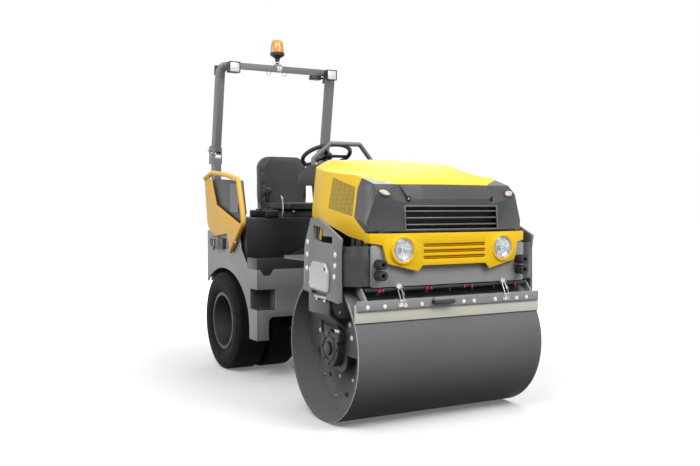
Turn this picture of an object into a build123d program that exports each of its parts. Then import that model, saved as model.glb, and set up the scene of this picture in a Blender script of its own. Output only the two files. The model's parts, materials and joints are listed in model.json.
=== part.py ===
# Combination road roller: a smooth steel drum in front, twin rubber tyres behind, hinged in the middle.
# Millimetres. X runs forward, Y to the operator's left, Z up from the ground.
# The origin is on the ground under the steering pivot.
import os
from math import asin, cos, degrees, radians, sin, sqrt

from build123d import *

# Clearances
run_gap = 0.05  # radial clearance of a shaft in its bore
seat_gap = 0.3  # space left between curved faces that sit in each other
swing_gap = 6  # least space round a moving piece
face_gap = 2  # space between flat faces that turn on each other

# Drum
drum_radius = 395
drum_width = 1200
drum_wall = 16
drum_recess = 150
drum_edge = 3
disc_wall = 14
disc_hole_radius = 16
disc_hole_inset = 109  # from the drum's inner face to the middle of the disc's holes
disc_hole_count = 8
spindle_radius = 45
boss_radius = 85
boss_length = 46
neck_reach = 445  # from the steering pivot to the back of the drum
drum_x = neck_reach + drum_radius

# Rear wheels
tyre_radius = 345
tyre_width = 228
twin_gap = 20
carrier_half_width = 62
tyre_inner_gap = 15
tread_inset = 30
bead_radius = 190
bead_inset = 22
rim_wall = 9
rim_flange_radius = 203
rim_flange_wall = 7
rim_disc_wall = 12
rim_disc_inset = 50  # the disc sits this far inwards of the tyre's middle
hub_radius = 40
hub_inner = 12
hub_end_length = 34
hub_flange_radius = 115
hub_flange_wall = 16
axle_boss = 95
axle_foot = 150
rim_hole_radius = 19
rim_hole_circle = 150
rim_hole_count = 8

# Rear frame
rear_plate = 12
nose_reach = 235  # from the steering pivot to the rear frame's front wall
front_leg = 133  # side plate between the front wall and the wheel arch
arch_gap = 127
arch_crown = 32
deck_gap = 58  # from the tyres to the deck
rear_front = -nose_reach
arch_half = tyre_radius + arch_gap
arch_height = tyre_radius + arch_crown
axle_x = rear_front - front_leg - arch_half
twin_outer = carrier_half_width + tyre_inner_gap + 2 * tyre_width + twin_gap
rear_half = twin_outer - 25
deck_top = 2 * tyre_radius + deck_gap
rear_top = deck_top + 237
rear_end = axle_x - tyre_radius
back_wall_x = axle_x - 300
back_wall_low = deck_top - 138
step_length = 120
step_low = deck_top - 268
step_high = deck_top - 133
step_wall = 6
leg_top = step_low - 50
frame_bottom = leg_top - 152
leg_width = 74
leg_corner = 34
wall_notch = 42

# Front frame
arm_plate = 16
front_plate = 18
front_wall = 10
front_half = drum_width / 2 + swing_gap + arm_plate  # inner face of the side plates
deck_clear = 70  # from the drum to the deck
deck_plate = 20
deck_bottom = 2 * drum_radius + deck_clear
deck_face = deck_bottom + deck_plate
nose_x = drum_x + drum_radius - 59  # front face of the frame's box
nose_corner = 110
nose_length = 176
nose_bottom = deck_bottom - 105
nose_top = deck_bottom + 100
nose_lip = deck_bottom + 60
nose_lip_depth = 4
panel_plate = 12
panel_half = front_half - 122
panel_bottom = nose_bottom - 6
panel_top = nose_top + 5
buffer_radius = 26
buffer_length = 62
buffer_hole = 10
buffer_inset = 40
buffer_levels = (deck_bottom - 48, deck_bottom + 9)
cover_depth = 15
cover_taper = 20
plate_corner = 14
bulkhead_plate = 12
bulkhead_half = 392

# Drum motors and carriers
motor_radius = 120
motor_cap_radius = 100
motor_cap_length = 60
carrier_plate = 16
carrier_half = 120
carrier_inner = drum_width / 2 - 100
carrier_drop = 125
carrier_corner = 60
bend_high = 195  # the bend's upper and lower ends, above the drum's axle
bend_low = motor_cap_radius + 6
bend_set = 6
wing_half = 310
wing_low = -28
wing_high = 165
wing_corner = 25
arm_top = deck_bottom - 90

# Scrapers and spray bar
scraper_rise = 178  # of the blade's edge above the drum's axle
blade_plate = 8
blade_height = 95
blade_half = drum_width / 2
clamp_plate = 12
clamp_height = 50
clamp_lap = 32
clamp_end = 8
scraper_gap = 1
scraper_arm_y = blade_half - 60
scraper_arm_plate = 10
handle_half = 64
handle_y = 73  # off the middle, towards the right
handle_depth = 24
handle_height = 16
clip_width = 20
clip_count = 3
spray_radius = 12
nozzle_radius = 8
nozzle_length = 16
nozzle_count = 7
rear_scraper_drop = 185
rear_blade_depth = 70
rear_blade_end = 20
hanger_plate = 14

# Engine
engine_length = 440
engine_half = 290
engine_height = 340
engine_back = 356  # from the nose back to the engine's middle

# Hood
hood_rear = nose_x - 806
hood_front = nose_x - 46  # front edge of the hood's lower sides
hood_wall = 8
hood_shift = 1.5  # half the seam between hood and mask
hood_side = 600  # beyond the hood's widest place
hood_low = deck_bottom + 90
hinge_x = hood_rear + 16
hinge_z = deck_bottom + 546
hinge_pin = 7
hinge_y = 300
hinge_knuckle = 34
bulkhead_top = hinge_z - 21
mask_bottom = deck_bottom + 176
brow_x = nose_x + 15
brow_z = deck_bottom + 345
strip_x = nose_x - 57
strip_z = deck_bottom + 424
strip_half = 292
nose_tip = nose_x + 28
intake_half = 298
intake_low = deck_bottom + 184
intake_high = deck_bottom + 304
slat_pitch = 35
slat_count = 3
slat_wall = 8
slat_depth = 34
fascia_wall = 12
fascia_x = nose_x + 50
fascia_sweep = 16
fascia_top = deck_bottom + 166
ear_half = panel_half + 7
fascia_half = ear_half - 77
ear_x = nose_x + 5
lamp_y = ear_half - 183
lamp_z = deck_bottom + 79
lamp_radius = 62
bezel_width = 11
bezel_proud = 8
slot_length = 404
slot_height = 18
slot_pitch = 32
slot_count = 3

# Steering pivot
pivot_pin = 30
knuckle_radius = 65
journal_radius = 50
journal_z = 484
journal_length = 210
lug_plate = 28
lug_low = 300
lug_high = 640
lug_tip = 70
lug_half = 130
low_lug_half = 190
lug_corner = 100
web_rear = rear_front - 225
web_front = -125
web_inner = 95
web_plate = 18
neck_half = 90
neck_hub_rear = lug_tip + 16
neck_hub_length = 60
neck_bore_length = 160
neck_rear = 130
neck_bottom = journal_z - 74
neck_gap = 40  # from the drum to the neck
steer_arm = 150  # from the pivot to the steering rod's eye
steer_arm_width = 50
steer_arm_height = 12
rod_radius = 14
barrel_radius = 25
barrel_wall_end = 80
barrel_mouth = -165
rod_stroke_gap = 90
rod_eye_radius = 32
rod_pin = 15
rod_pin_proud = 10
barrel_pin_x = web_rear + 35
barrel_bore_end = barrel_pin_x + barrel_wall_end
rod_inner_end = barrel_bore_end + rod_stroke_gap
eye_height = 36

# Operator's place
pan_wall = 8
pan_rear = rear_front - 165  # where the pan drops between the side plates
kick_top = deck_top + 74
kick_middle_top = deck_top + 127
kick_middle = 203
kick_shoulder = 311
seat_box_front = rear_front - 245
seat_box_lean = 20
seat_box_top = deck_top + 337
seat_box_half = rear_half - 28
seat_frame_height = 50
seat_frame_half = 150
console_x = -60
console_half = 170
console_depth = 180
console_corner = 30
pod_half = 240
pod_bottom = deck_top + 552
pod_top = pod_bottom + 130
wheel_radius = 165
wheel_tube = 14
wheel_x = -262
wheel_z = pod_top + 78
wheel_tilt = 24
wheel_hub_radius = 40
wheel_hub_height = 26
spoke_width = 26
spoke_plate = 10
column_radius = 22
column_gap = 20
column_length = 190
seat_x = axle_x - 100
seat_half = 205
cushion_length = 440
cushion_corner = 60
cushion_top = seat_box_top + 110
back_top = seat_box_top + 467
back_depth = 100
back_gap = 10
back_corner = 70
bar_radius = 15
bar_half = 216
bar_top = pod_top + 142
bar_bend = 20
lever_x = axle_x + 280
lever_y = 300
lever_radius = 9
lever_box_length = 300
lever_box_width = 110
lever_box_height = 150
lever_setback = 70  # of the lever behind the console's front
lever_length = 130
knob_radius = 24
guard_y = rear_half + 17
guard_tube = 17
guard_sheet = 5
guard_bend = 40
guard_boss = 16
post_depth = 80
post_width = 50
post_outer = rear_half - 46
post_low = deck_top - 128
post_top = deck_top + 804
fold_x = back_wall_x - 92
fold_z = post_top + 32
fold_pin = 12
fold_lug = 18
cheek_plate = 7
cheek_low = post_top - 72
cheek_side_gap = 1
hoop_lean = 9.3
hoop_height = 668
hoop_corner = 90
light_width = 86
light_height = 80
light_depth = 62
light_arm = 60
light_drop = 17  # of the lights below and behind the ends of their arms
light_inset = 82
beacon_radius = 56
beacon_stem = 53
beacon_stem_radius = 9
beacon_base = 34
beacon_dome = 107
beacon_pad = 50
beacon_pad_height = 22
lamp_box_y = rear_half - 168
hitch_length = 110
hitch_width = 90
hitch_plate = 30
hitch_z = deck_top - 108
hitch_hole = 18
hitch_hole_inset = 35


def front_points(*points):
    return [(drum_x + x, deck_bottom + z) for x, z in points]


def nose_points(*points):
    return [(nose_x + x, deck_bottom + z) for x, z in points]


def rear_points(*points):
    return [(axle_x + x, deck_top + z) for x, z in points]


def save(builder, name):
    builder.part.label = name
    export_step(builder.part, f"parts/{name}.step")


os.makedirs("parts", exist_ok=True)

# Drum: rolled shell with two recessed end discs, each with a hub boss and round holes
disc_face = drum_width / 2 - drum_recess
disc_hole_circle = drum_radius - drum_wall - disc_hole_inset
with BuildPart() as drum:
    with BuildSketch(Plane.XZ):
        with Locations((drum_x, drum_radius)):
            Circle(drum_radius)
            Circle(drum_radius - drum_wall, mode=Mode.SUBTRACT)
    extrude(amount=drum_width / 2, both=True)
    chamfer(drum.edges().filter_by(GeomType.CIRCLE).sort_by(SortBy.RADIUS)[-2:], drum_edge)
    with BuildSketch(Plane.XZ.offset(disc_face - disc_wall)):
        with Locations((drum_x, drum_radius)):
            Circle(drum_radius - drum_wall / 2)
            with PolarLocations(disc_hole_circle, disc_hole_count):
                Circle(disc_hole_radius, mode=Mode.SUBTRACT)
    extrude(amount=disc_wall)
    with BuildSketch(Plane.XZ.offset(disc_face - boss_length)):
        with Locations((drum_x, drum_radius)):
            Circle(boss_radius)
    extrude(amount=boss_length)
    with BuildSketch(Plane.XZ.offset(disc_face - boss_length)):
        with Locations((drum_x, drum_radius)):
            Circle(spindle_radius + run_gap)
    extrude(amount=boss_length, mode=Mode.SUBTRACT)
    mirror(about=Plane.XZ)
save(drum, "drum")

# Drum motors: fixed spindles that the drum turns on, with caps that stand out through the carriers
with BuildPart() as motors:
    with BuildSketch(Plane.XZ.offset(disc_face + swing_gap)):
        with Locations((drum_x, drum_radius)):
            Circle(motor_radius)
    extrude(amount=carrier_inner - disc_face - swing_gap)
    with BuildSketch(Plane.XZ.offset(disc_face - boss_length + swing_gap)):
        with Locations((drum_x, drum_radius)):
            Circle(spindle_radius)
    extrude(amount=boss_length)
    with BuildSketch(Plane.XZ.offset(carrier_inner)):
        with Locations((drum_x, drum_radius)):
            Circle(motor_cap_radius)
    extrude(amount=motor_cap_length)
    mirror(about=Plane.XZ)
save(motors, "drum_motors")

# Drum carriers: plates bent from the side plates into the drum's ends, with wings beside the motors
carrier_outer = carrier_inner + carrier_plate
carrier_bottom = drum_radius - carrier_drop
bend_top_z = drum_radius + bend_high
bend_low_z = drum_radius + bend_low
with BuildPart() as carriers:
    with BuildSketch(Plane.YZ.offset(drum_x - carrier_half)):
        Polygon(
            (-front_half, arm_top),
            (-front_half, bend_top_z),
            (-carrier_outer, bend_low_z),
            (-carrier_outer, carrier_bottom),
            (-carrier_inner, carrier_bottom),
            (-carrier_inner, bend_low_z + bend_set),
            (-front_half + arm_plate, bend_top_z + bend_set),
            (-front_half + arm_plate, arm_top),
        )
    extrude(amount=2 * carrier_half)
    fillet(carriers.edges().filter_by(Axis.Y).group_by(Axis.Z)[0], carrier_corner)
    with BuildSketch(Plane.XZ.offset(carrier_inner)):
        with Locations((drum_x, drum_radius + (wing_low + wing_high) / 2)):
            RectangleRounded(2 * wing_half, wing_high - wing_low, wing_corner)
    extrude(amount=carrier_plate)
    with BuildSketch(Plane.XZ.offset(carrier_inner)):
        with Locations((drum_x, drum_radius)):
            Circle(motor_cap_radius + seat_gap)
    extrude(amount=carrier_plate, mode=Mode.SUBTRACT)
    mirror(about=Plane.XZ)
save(carriers, "drum_carriers")

# Front side plates, with the angled slot for the lifting point and a notch over the carrier
plate_outline = front_points(
    (-59, 241), (-129, 109), (-138, 71), (-151, -156), (269, -197), (265, 60), (278, 139), (43, 241)
)
slot_outline = front_points((-24, 204), (83, 191), (83, 147), (190, 147), (190, 111), (67, 113), (-24, 128))
notch_outline = front_points((-52, -146), (130, -156), (124, -200), (-40, -200))
with BuildPart() as side_plates:
    with BuildSketch(Plane.XZ.offset(front_half)) as plate_sketch:
        Polygon(*plate_outline)
        fillet(plate_sketch.vertices().sort_by(Axis.Y)[:2], plate_corner)
        Polygon(*slot_outline, mode=Mode.SUBTRACT)
        Polygon(*notch_outline, mode=Mode.SUBTRACT)
    extrude(amount=front_plate)
    mirror(about=Plane.XZ)
save(side_plates, "front_side_plates")

# Covers over the drum motors' hoses, on the outside of the side plates
cover_outline = front_points((-16, 17), (131, 9), (165, -40), (154, -150), (-47, -138), (-55, -32))
with BuildPart() as covers:
    with BuildSketch(Plane.XZ.offset(front_half + front_plate)) as cover_sketch:
        Polygon(*cover_outline)
        fillet(cover_sketch.vertices(), plate_corner)
    extrude(amount=cover_depth, taper=cover_taper)
    mirror(about=Plane.XZ)
save(covers, "side_covers")

# Front frame: engine deck with a box nose that has rounded corners and a stepped upper edge
bulkhead_x = hood_rear + bulkhead_plate
deck_rear = bulkhead_x + bulkhead_plate
nose_rear = nose_x - nose_length


def nose_outline(inset):
    with BuildSketch() as outline:
        with Locations((nose_rear, 0)):
            length = nose_length - inset
            Rectangle(length, 2 * (front_half - inset), align=(Align.MIN, Align.CENTER))
        fillet(outline.vertices().sort_by(Axis.X)[-2:], nose_corner - inset)
    return outline.sketch


with BuildPart() as front_frame:
    with BuildSketch(Plane.XY.offset(deck_bottom)) as deck_sketch:
        with Locations((deck_rear, 0)):
            Rectangle(nose_x - deck_rear, 2 * front_half, align=(Align.MIN, Align.CENTER))
        fillet(deck_sketch.vertices().sort_by(Axis.X)[-2:], nose_corner)
    extrude(amount=deck_plate)
    with BuildSketch(Plane.XY.offset(nose_bottom)):
        add(nose_outline(0))
        add(nose_outline(front_wall), mode=Mode.SUBTRACT)
    extrude(amount=nose_lip - nose_bottom)
    with BuildSketch(Plane.XY.offset(nose_lip)):
        add(nose_outline(nose_lip_depth))
        add(nose_outline(front_wall), mode=Mode.SUBTRACT)
    extrude(amount=nose_top - nose_lip)
save(front_frame, "front_frame")

# Front panel and its rubber buffers
with BuildPart() as panel:
    with BuildSketch(Plane.YZ.offset(nose_x)):
        with Locations((0, (panel_bottom + panel_top) / 2)):
            RectangleRounded(2 * panel_half, panel_top - panel_bottom, plate_corner)
    extrude(amount=panel_plate)
save(panel, "front_panel")

buffer_y = panel_half - buffer_inset
with BuildPart() as buffers:
    with BuildSketch(Plane.YZ.offset(nose_x + panel_plate)):
        for level in buffer_levels:
            with Locations((-buffer_y, level), (buffer_y, level)):
                Circle(buffer_radius)
                Circle(buffer_hole, mode=Mode.SUBTRACT)
    extrude(amount=buffer_length)
save(buffers, "buffers")

# Neck: box beam from the deck down behind the drum to the oscillation bearing
neck_front = neck_reach - neck_gap
neck_curve = drum_radius + neck_gap
neck_arc = [
    (drum_x + neck_curve * cos(radians(angle)), drum_radius + neck_curve * sin(radians(angle)))
    for angle in (170, 157, 142, 126)
]
with BuildPart() as neck:
    with BuildSketch(Plane.XZ):
        Polygon(
            (neck_rear, neck_bottom),
            (neck_front, neck_bottom),
            *neck_arc,
            *front_points((-200, 0), (-340, 0), (-440, -30)),
            (neck_rear + 60, lug_high - 20),
            (neck_rear, lug_high - 70),
        )
    extrude(amount=neck_half, both=True)
    with BuildSketch(Plane.YZ.offset(neck_hub_rear)):
        with Locations((0, journal_z)):
            Circle(neck_half)
    extrude(amount=neck_hub_length)
    with BuildSketch(Plane.YZ.offset(neck_hub_rear)):
        with Locations((0, journal_z)):
            Circle(journal_radius + run_gap)
    extrude(amount=neck_bore_length, mode=Mode.SUBTRACT)
save(neck, "neck")

# Engine: one plain block on the deck
with BuildPart() as engine:
    with Locations((nose_x - engine_back, 0, deck_face)):
        Box(engine_length, 2 * engine_half, engine_height, align=(Align.CENTER, Align.CENTER, Align.MIN))
save(engine, "engine")

# Bulkhead behind the engine, with the hood's hinge pins on its top edge
with BuildPart() as bulkhead:
    with BuildSketch(Plane.YZ.offset(bulkhead_x)):
        Polygon(
            (0, deck_bottom),
            (bulkhead_half, deck_bottom),
            (bulkhead_half, deck_bottom + 290),
            (bulkhead_half - 24, bulkhead_top),
            (0, bulkhead_top),
        )
        mirror(about=Plane.YZ)
    extrude(amount=bulkhead_plate)
    for side in (-hinge_y, hinge_y):
        with BuildSketch(Plane.XZ.offset(side - hinge_knuckle)):
            Polygon(
                (hinge_x - 10, hinge_z + 9),
                (hinge_x + 10, hinge_z + 9),
                (bulkhead_x + bulkhead_plate, bulkhead_top),
                (bulkhead_x, bulkhead_top),
            )
        extrude(amount=12)
        with BuildSketch(Plane.XZ.offset(side - hinge_knuckle)):
            with Locations((hinge_x, hinge_z)):
                Circle(hinge_pin)
        extrude(amount=hinge_knuckle + 8)
save(bulkhead, "bulkhead")

# Front scraper: sprung blade on a clamp bar hung from the nose
scraper_z = drum_radius + scraper_rise
blade_x = drum_x + sqrt(drum_radius**2 - scraper_rise**2) + scraper_gap
blade_top = scraper_z + blade_height
with BuildPart() as blade:
    with BuildSketch(Plane.XZ):
        with Locations((blade_x, scraper_z)):
            Rectangle(blade_plate, blade_height, align=(Align.MIN, Align.MIN))
    extrude(amount=blade_half, both=True)
save(blade, "scraper_blade")

clamp_x = blade_x + blade_plate
clamp_face = clamp_x + clamp_plate
clamp_top = blade_top - clamp_lap + clamp_height
with BuildPart() as clamp:
    with BuildSketch(Plane.XZ):
        with Locations((clamp_x, clamp_top)):
            Rectangle(clamp_plate, clamp_height, align=(Align.MIN, Align.MAX))
    extrude(amount=blade_half - clamp_end, both=True)
    for arm_y in (-scraper_arm_y, scraper_arm_y):
        with BuildSketch(Plane.XZ.offset(arm_y - scraper_arm_plate / 2)):
            Polygon(
                (clamp_x, blade_top),
                (clamp_face, clamp_top),
                (nose_x - 25, nose_bottom),
                (nose_x - 75, nose_bottom),
                (nose_x - 66, nose_bottom - 35),
                (blade_x, blade_top),
            )
        extrude(amount=scraper_arm_plate)
    with BuildSketch(Plane.XZ.offset(handle_y)):
        with Locations((clamp_face, clamp_top)):
            Rectangle(handle_depth, handle_height, align=(Align.MIN, Align.MAX))
    extrude(amount=handle_half, both=True)
save(clamp, "scraper_clamp")

# Spray bar with its nozzles under the nose
spray_x = nose_x - front_wall / 2
spray_z = panel_bottom - spray_radius - 1
spray_half = scraper_arm_y - scraper_arm_plate
nozzle_pitch = 1.7 * spray_half / (nozzle_count - 1)
with BuildPart() as spray:
    with BuildSketch(Plane.XZ):
        with Locations((spray_x, spray_z)):
            Circle(spray_radius)
    extrude(amount=spray_half, both=True)
    with BuildSketch(Plane.XY.offset(spray_z)):
        with GridLocations(0, nozzle_pitch, 1, nozzle_count):
            with Locations((spray_x, 0)):
                Circle(nozzle_radius)
    extrude(amount=-spray_radius - nozzle_length)
    with BuildSketch(Plane.XY.offset(spray_z)):
        with GridLocations(0, 2.5 * nozzle_pitch, 1, clip_count):
            with Locations((spray_x, 0)):
                Rectangle(front_wall - 2, clip_width)
    extrude(amount=nose_bottom - spray_z)
save(spray, "spray_bar")

# Rear scraper, low behind the drum, on two hangers under the neck
rear_angle = asin(rear_scraper_drop / drum_radius)
rear_reach = drum_radius + scraper_gap
tip_x = drum_x - rear_reach * cos(rear_angle)
tip_z = drum_radius - rear_reach * sin(rear_angle)
with BuildPart() as rear_scraper:
    with BuildSketch(Plane.XZ):
        Polygon(
            (tip_x, tip_z),
            (tip_x - rear_blade_depth, tip_z + 12),
            (tip_x - rear_blade_depth, tip_z + 24),
            (tip_x - 12, tip_z + 10),
        )
    extrude(amount=blade_half - rear_blade_end, both=True)
    with BuildSketch(Plane.XZ.offset(neck_half - hanger_plate)):
        Polygon(
            (tip_x - rear_blade_depth, tip_z + 14),
            (tip_x - rear_blade_depth + 34, tip_z + 14),
            (neck_front - 5, neck_bottom),
            (neck_front - 55, neck_bottom),
        )
    extrude(amount=hanger_plate)
    mirror(about=Plane.XZ)
save(rear_scraper, "rear_scraper")

# Hood sections from the rear to the nose: distance ahead of the nose, height of the top, then the
# crease beside the top, the shoulder and the lower band, and the half width at the bottom
hood_sections = (
    (-806, 592, (318, 581), (398, 538), (424, 290), 420),
    (-656, 585, (352, 574), (448, 516), (472, 290), 468),
    (-509, 563, (345, 552), (476, 498), (520, 288), 514),
    (-376, 530, (331, 520), (470, 485), (518, 277), 510),
    (-226, 485, (312, 477), (448, 471), (512, 254), 504),
    (-57, 426, (292, 421), (442, 422), (507, 228), 500),
    (64, 426, (292, 421), (430, 422), (500, 210), 493),
)


# Hood: sections joined by flat strips, then cut by its side view, its plan and the nose's corners
def hood_form(inset):
    with BuildPart() as form:
        for ahead, top, crease, shoulder, band, low_half in hood_sections:
            with BuildSketch(Plane.YZ.offset(nose_x + ahead)):
                Polygon(
                    (0, deck_bottom + top - inset),
                    (crease[0] - inset / 2, deck_bottom + crease[1] - inset),
                    (shoulder[0] - inset, deck_bottom + shoulder[1] - inset),
                    (band[0] - inset, deck_bottom + band[1]),
                    (low_half - inset, hood_low),
                    (0, hood_low),
                )
                mirror(about=Plane.YZ)
        loft(ruled=True)
        with BuildSketch(Plane.XZ):
            Polygon(
                (hood_rear, hood_low + 149),
                *nose_points((-536, 235), (-202, 144), (-46, 125)),
                (hood_front, mask_bottom),
                (nose_tip - inset, mask_bottom),
                (brow_x - inset, brow_z - inset / 2),
                (strip_x - inset, strip_z - inset),
                (strip_x - inset, strip_z + hood_side),
                (hood_rear, strip_z + hood_side),
            )
        extrude(amount=hood_side, both=True, mode=Mode.INTERSECT)
        with BuildSketch(Plane.XY.offset(hood_low)):
            Polygon(
                (hood_rear, 0),
                (hood_rear, hood_side),
                (hood_front, hood_side),
                (nose_x - 19 - inset / 2, 489 - inset),
                (nose_x + 27 - inset, 310),
                (nose_x + 30 - inset, 0),
            )
            mirror(about=Plane.XZ)
        extrude(amount=hood_side, mode=Mode.INTERSECT)
        for side in (-1, 1):
            corner = Vector(strip_x, side * strip_half, strip_z - 4)
            along = Vector(34, side * 154, -13)
            down = Vector(71, side * 38, -85)
            facet = Plane(corner, x_dir=along, z_dir=down.cross(along) * side)
            with BuildSketch(facet.offset(-inset)):
                Rectangle(300, 400, align=(Align.MIN, Align.CENTER))
            extrude(amount=120, mode=Mode.SUBTRACT)
    return form.part


hood_outside = hood_form(0)
hood_inside = hood_form(hood_wall)


# The mask takes the nose of the hood, back to a pointed line across its shoulders
def mask_region(shift):
    region_end = nose_x + 200
    with BuildPart() as region:
        with BuildSketch(Plane.XY.offset(mask_bottom)):
            Polygon(
                (strip_x + shift, 0),
                (strip_x + shift, strip_half),
                (nose_x - 164 + shift, 429),
                (nose_x - 196 + shift, 475),
                (nose_x - 196 + shift, hood_side),
                (region_end, hood_side),
                (region_end, 0),
            )
            mirror(about=Plane.XZ)
        extrude(amount=hood_side)
        with BuildSketch(Plane.XZ):
            Polygon(
                *nose_points((-196 + shift, 800), (-196 + shift, 450), (-191 + shift, 412)),
                *nose_points((-151 + shift, 250), (-76 + shift, 195), (-46 + shift, 176)),
                (region_end, mask_bottom),
                *nose_points((200, 800)),
            )
        extrude(amount=hood_side, both=True, mode=Mode.INTERSECT)
    return region.part


hood_skin = hinge_z + 31  # middle of the hood's skin over the hinges
grille_outline = nose_points((-439, 465), (-211, 407), (-168, 252), (-429, 295))
with BuildPart() as hood:
    add(hood_outside)
    add(hood_inside, mode=Mode.SUBTRACT)
    add(mask_region(-hood_shift), mode=Mode.SUBTRACT)
    with BuildSketch(Plane.XZ):
        Polygon(*grille_outline)
    extrude(amount=hood_side, both=True, mode=Mode.SUBTRACT)
    for side in (-hinge_y, hinge_y):
        with BuildSketch(Plane.XZ.offset(side - hinge_knuckle / 2)):
            with Locations((hinge_x, hinge_z)):
                Circle(hinge_pin * 2)
                Rectangle(hinge_pin * 3, hood_skin - hinge_z, align=(Align.CENTER, Align.MIN))
                Circle(hinge_pin + run_gap, mode=Mode.SUBTRACT)
        extrude(amount=hinge_knuckle - 10)
save(hood, "hood_shell")

# Mask with an air intake across it, behind slats
intake_middle = (intake_low + intake_high) / 2
with BuildPart() as mask:
    add(hood_outside)
    add(hood_inside, mode=Mode.SUBTRACT)
    add(mask_region(hood_shift), mode=Mode.INTERSECT)
    with BuildSketch(Plane.YZ.offset(strip_x)):
        with Locations((0, intake_middle)):
            Rectangle(2 * intake_half, intake_high - intake_low)
    extrude(amount=hood_side, mode=Mode.SUBTRACT)
    with BuildSketch(Plane.YZ.offset(nose_tip - hood_wall)):
        with GridLocations(0, slat_pitch, 1, slat_count):
            with Locations((0, intake_middle)):
                Rectangle(2 * (intake_half + 4), slat_wall)
    extrude(amount=-slat_depth)
save(mask, "mask")

# Side grilles: mesh panels in the hood's sides
with BuildPart() as side_grilles:
    add(hood_outside)
    add(hood_inside, mode=Mode.SUBTRACT)
    with BuildSketch(Plane.XZ):
        Polygon(*grille_outline)
    extrude(amount=hood_side, both=True, mode=Mode.INTERSECT)
save(side_grilles, "side_grilles")

# Fascia: curved front panel below the mask, with lamp holes and an air grille
rim_x = fascia_x - fascia_sweep
rim_back = rim_x - fascia_wall
lamp_face = rim_x + fascia_sweep / 2
with BuildPart() as fascia:
    with BuildSketch(Plane.XY.offset(deck_bottom - 60)):
        with BuildLine():
            inner_half = fascia_half - 4
            ThreePointArc((rim_x, -fascia_half), (fascia_x, 0), (rim_x, fascia_half))
            Polyline(
                (rim_x, fascia_half),
                (ear_x, ear_half - 3),
                (hood_front, ear_half),
                (hood_front, ear_half - hood_wall),
                (ear_x - fascia_wall, ear_half - 11),
                (rim_back, inner_half),
            )
            ThreePointArc((rim_back, inner_half), (fascia_x - fascia_wall, 0), (rim_back, -inner_half))
            Polyline(
                (rim_back, -inner_half),
                (ear_x - fascia_wall, 11 - ear_half),
                (hood_front, hood_wall - ear_half),
                (hood_front, -ear_half),
                (ear_x, 3 - ear_half),
                (rim_x, -fascia_half),
            )
        make_face()
    extrude(amount=fascia_top - deck_bottom + 60)
    with BuildSketch(Plane.YZ.offset(hood_front)):
        Polygon(
            (0, deck_bottom - 2),
            (205, deck_bottom - 2),
            (232, deck_bottom - 33),
            (fascia_half - 14, deck_bottom + 12),
            (fascia_half + 10, deck_bottom + 106),
            (ear_half + 3, deck_bottom + 118),
            (ear_half + 3, fascia_top),
            (0, fascia_top),
        )
        mirror(about=Plane.YZ)
        with GridLocations(0, slot_pitch, 1, slot_count):
            with Locations((0, deck_bottom + 70)):
                SlotOverall(slot_length, slot_height, mode=Mode.SUBTRACT)
    extrude(amount=fascia_x - hood_front, mode=Mode.INTERSECT)
    with BuildSketch(Plane.YZ.offset(rim_back + 2)):
        with Locations((-lamp_y, lamp_z), (lamp_y, lamp_z)):
            Circle(lamp_radius + bezel_width)
    extrude(amount=lamp_face + bezel_proud - rim_back - 2)
    with BuildSketch(Plane.YZ.offset(hood_front)):
        with Locations((-lamp_y, lamp_z), (lamp_y, lamp_z)):
            Circle(lamp_radius + seat_gap)
    extrude(amount=2 * (fascia_x - hood_front), mode=Mode.SUBTRACT)
save(fascia, "fascia")

# Headlights in the fascia
with BuildPart() as headlights:
    with BuildSketch(Plane.YZ.offset(rim_back + 2)):
        with Locations((-lamp_y, lamp_z), (lamp_y, lamp_z)):
            Circle(lamp_radius)
    extrude(amount=lamp_face - rim_back)
    chamfer(headlights.edges().group_by(Axis.X)[-1], fascia_wall / 2)
save(headlights, "headlights")

# Steering knuckle: vertical bore for the pivot pin, journal for the oscillation bearing, steering arm
knuckle_bottom = lug_low + lug_plate + face_gap
knuckle_top = lug_high - face_gap
with BuildPart() as knuckle:
    with BuildSketch(Plane.XY.offset(knuckle_bottom)):
        Circle(knuckle_radius)
    extrude(amount=knuckle_top - knuckle_bottom)
    with BuildSketch(Plane.YZ):
        with Locations((0, journal_z)):
            Circle(journal_radius)
    extrude(amount=journal_length)
    with BuildSketch(Plane.XY.offset(knuckle_bottom)):
        with Locations((0, -steer_arm / 2)):
            SlotCenterToCenter(steer_arm, steer_arm_width, rotation=90)
    extrude(amount=steer_arm_height)
    with BuildSketch(Plane.XY.offset(knuckle_bottom)):
        Circle(pivot_pin + run_gap)
    extrude(amount=knuckle_top - knuckle_bottom, mode=Mode.SUBTRACT)
save(knuckle, "steer_knuckle")

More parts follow.
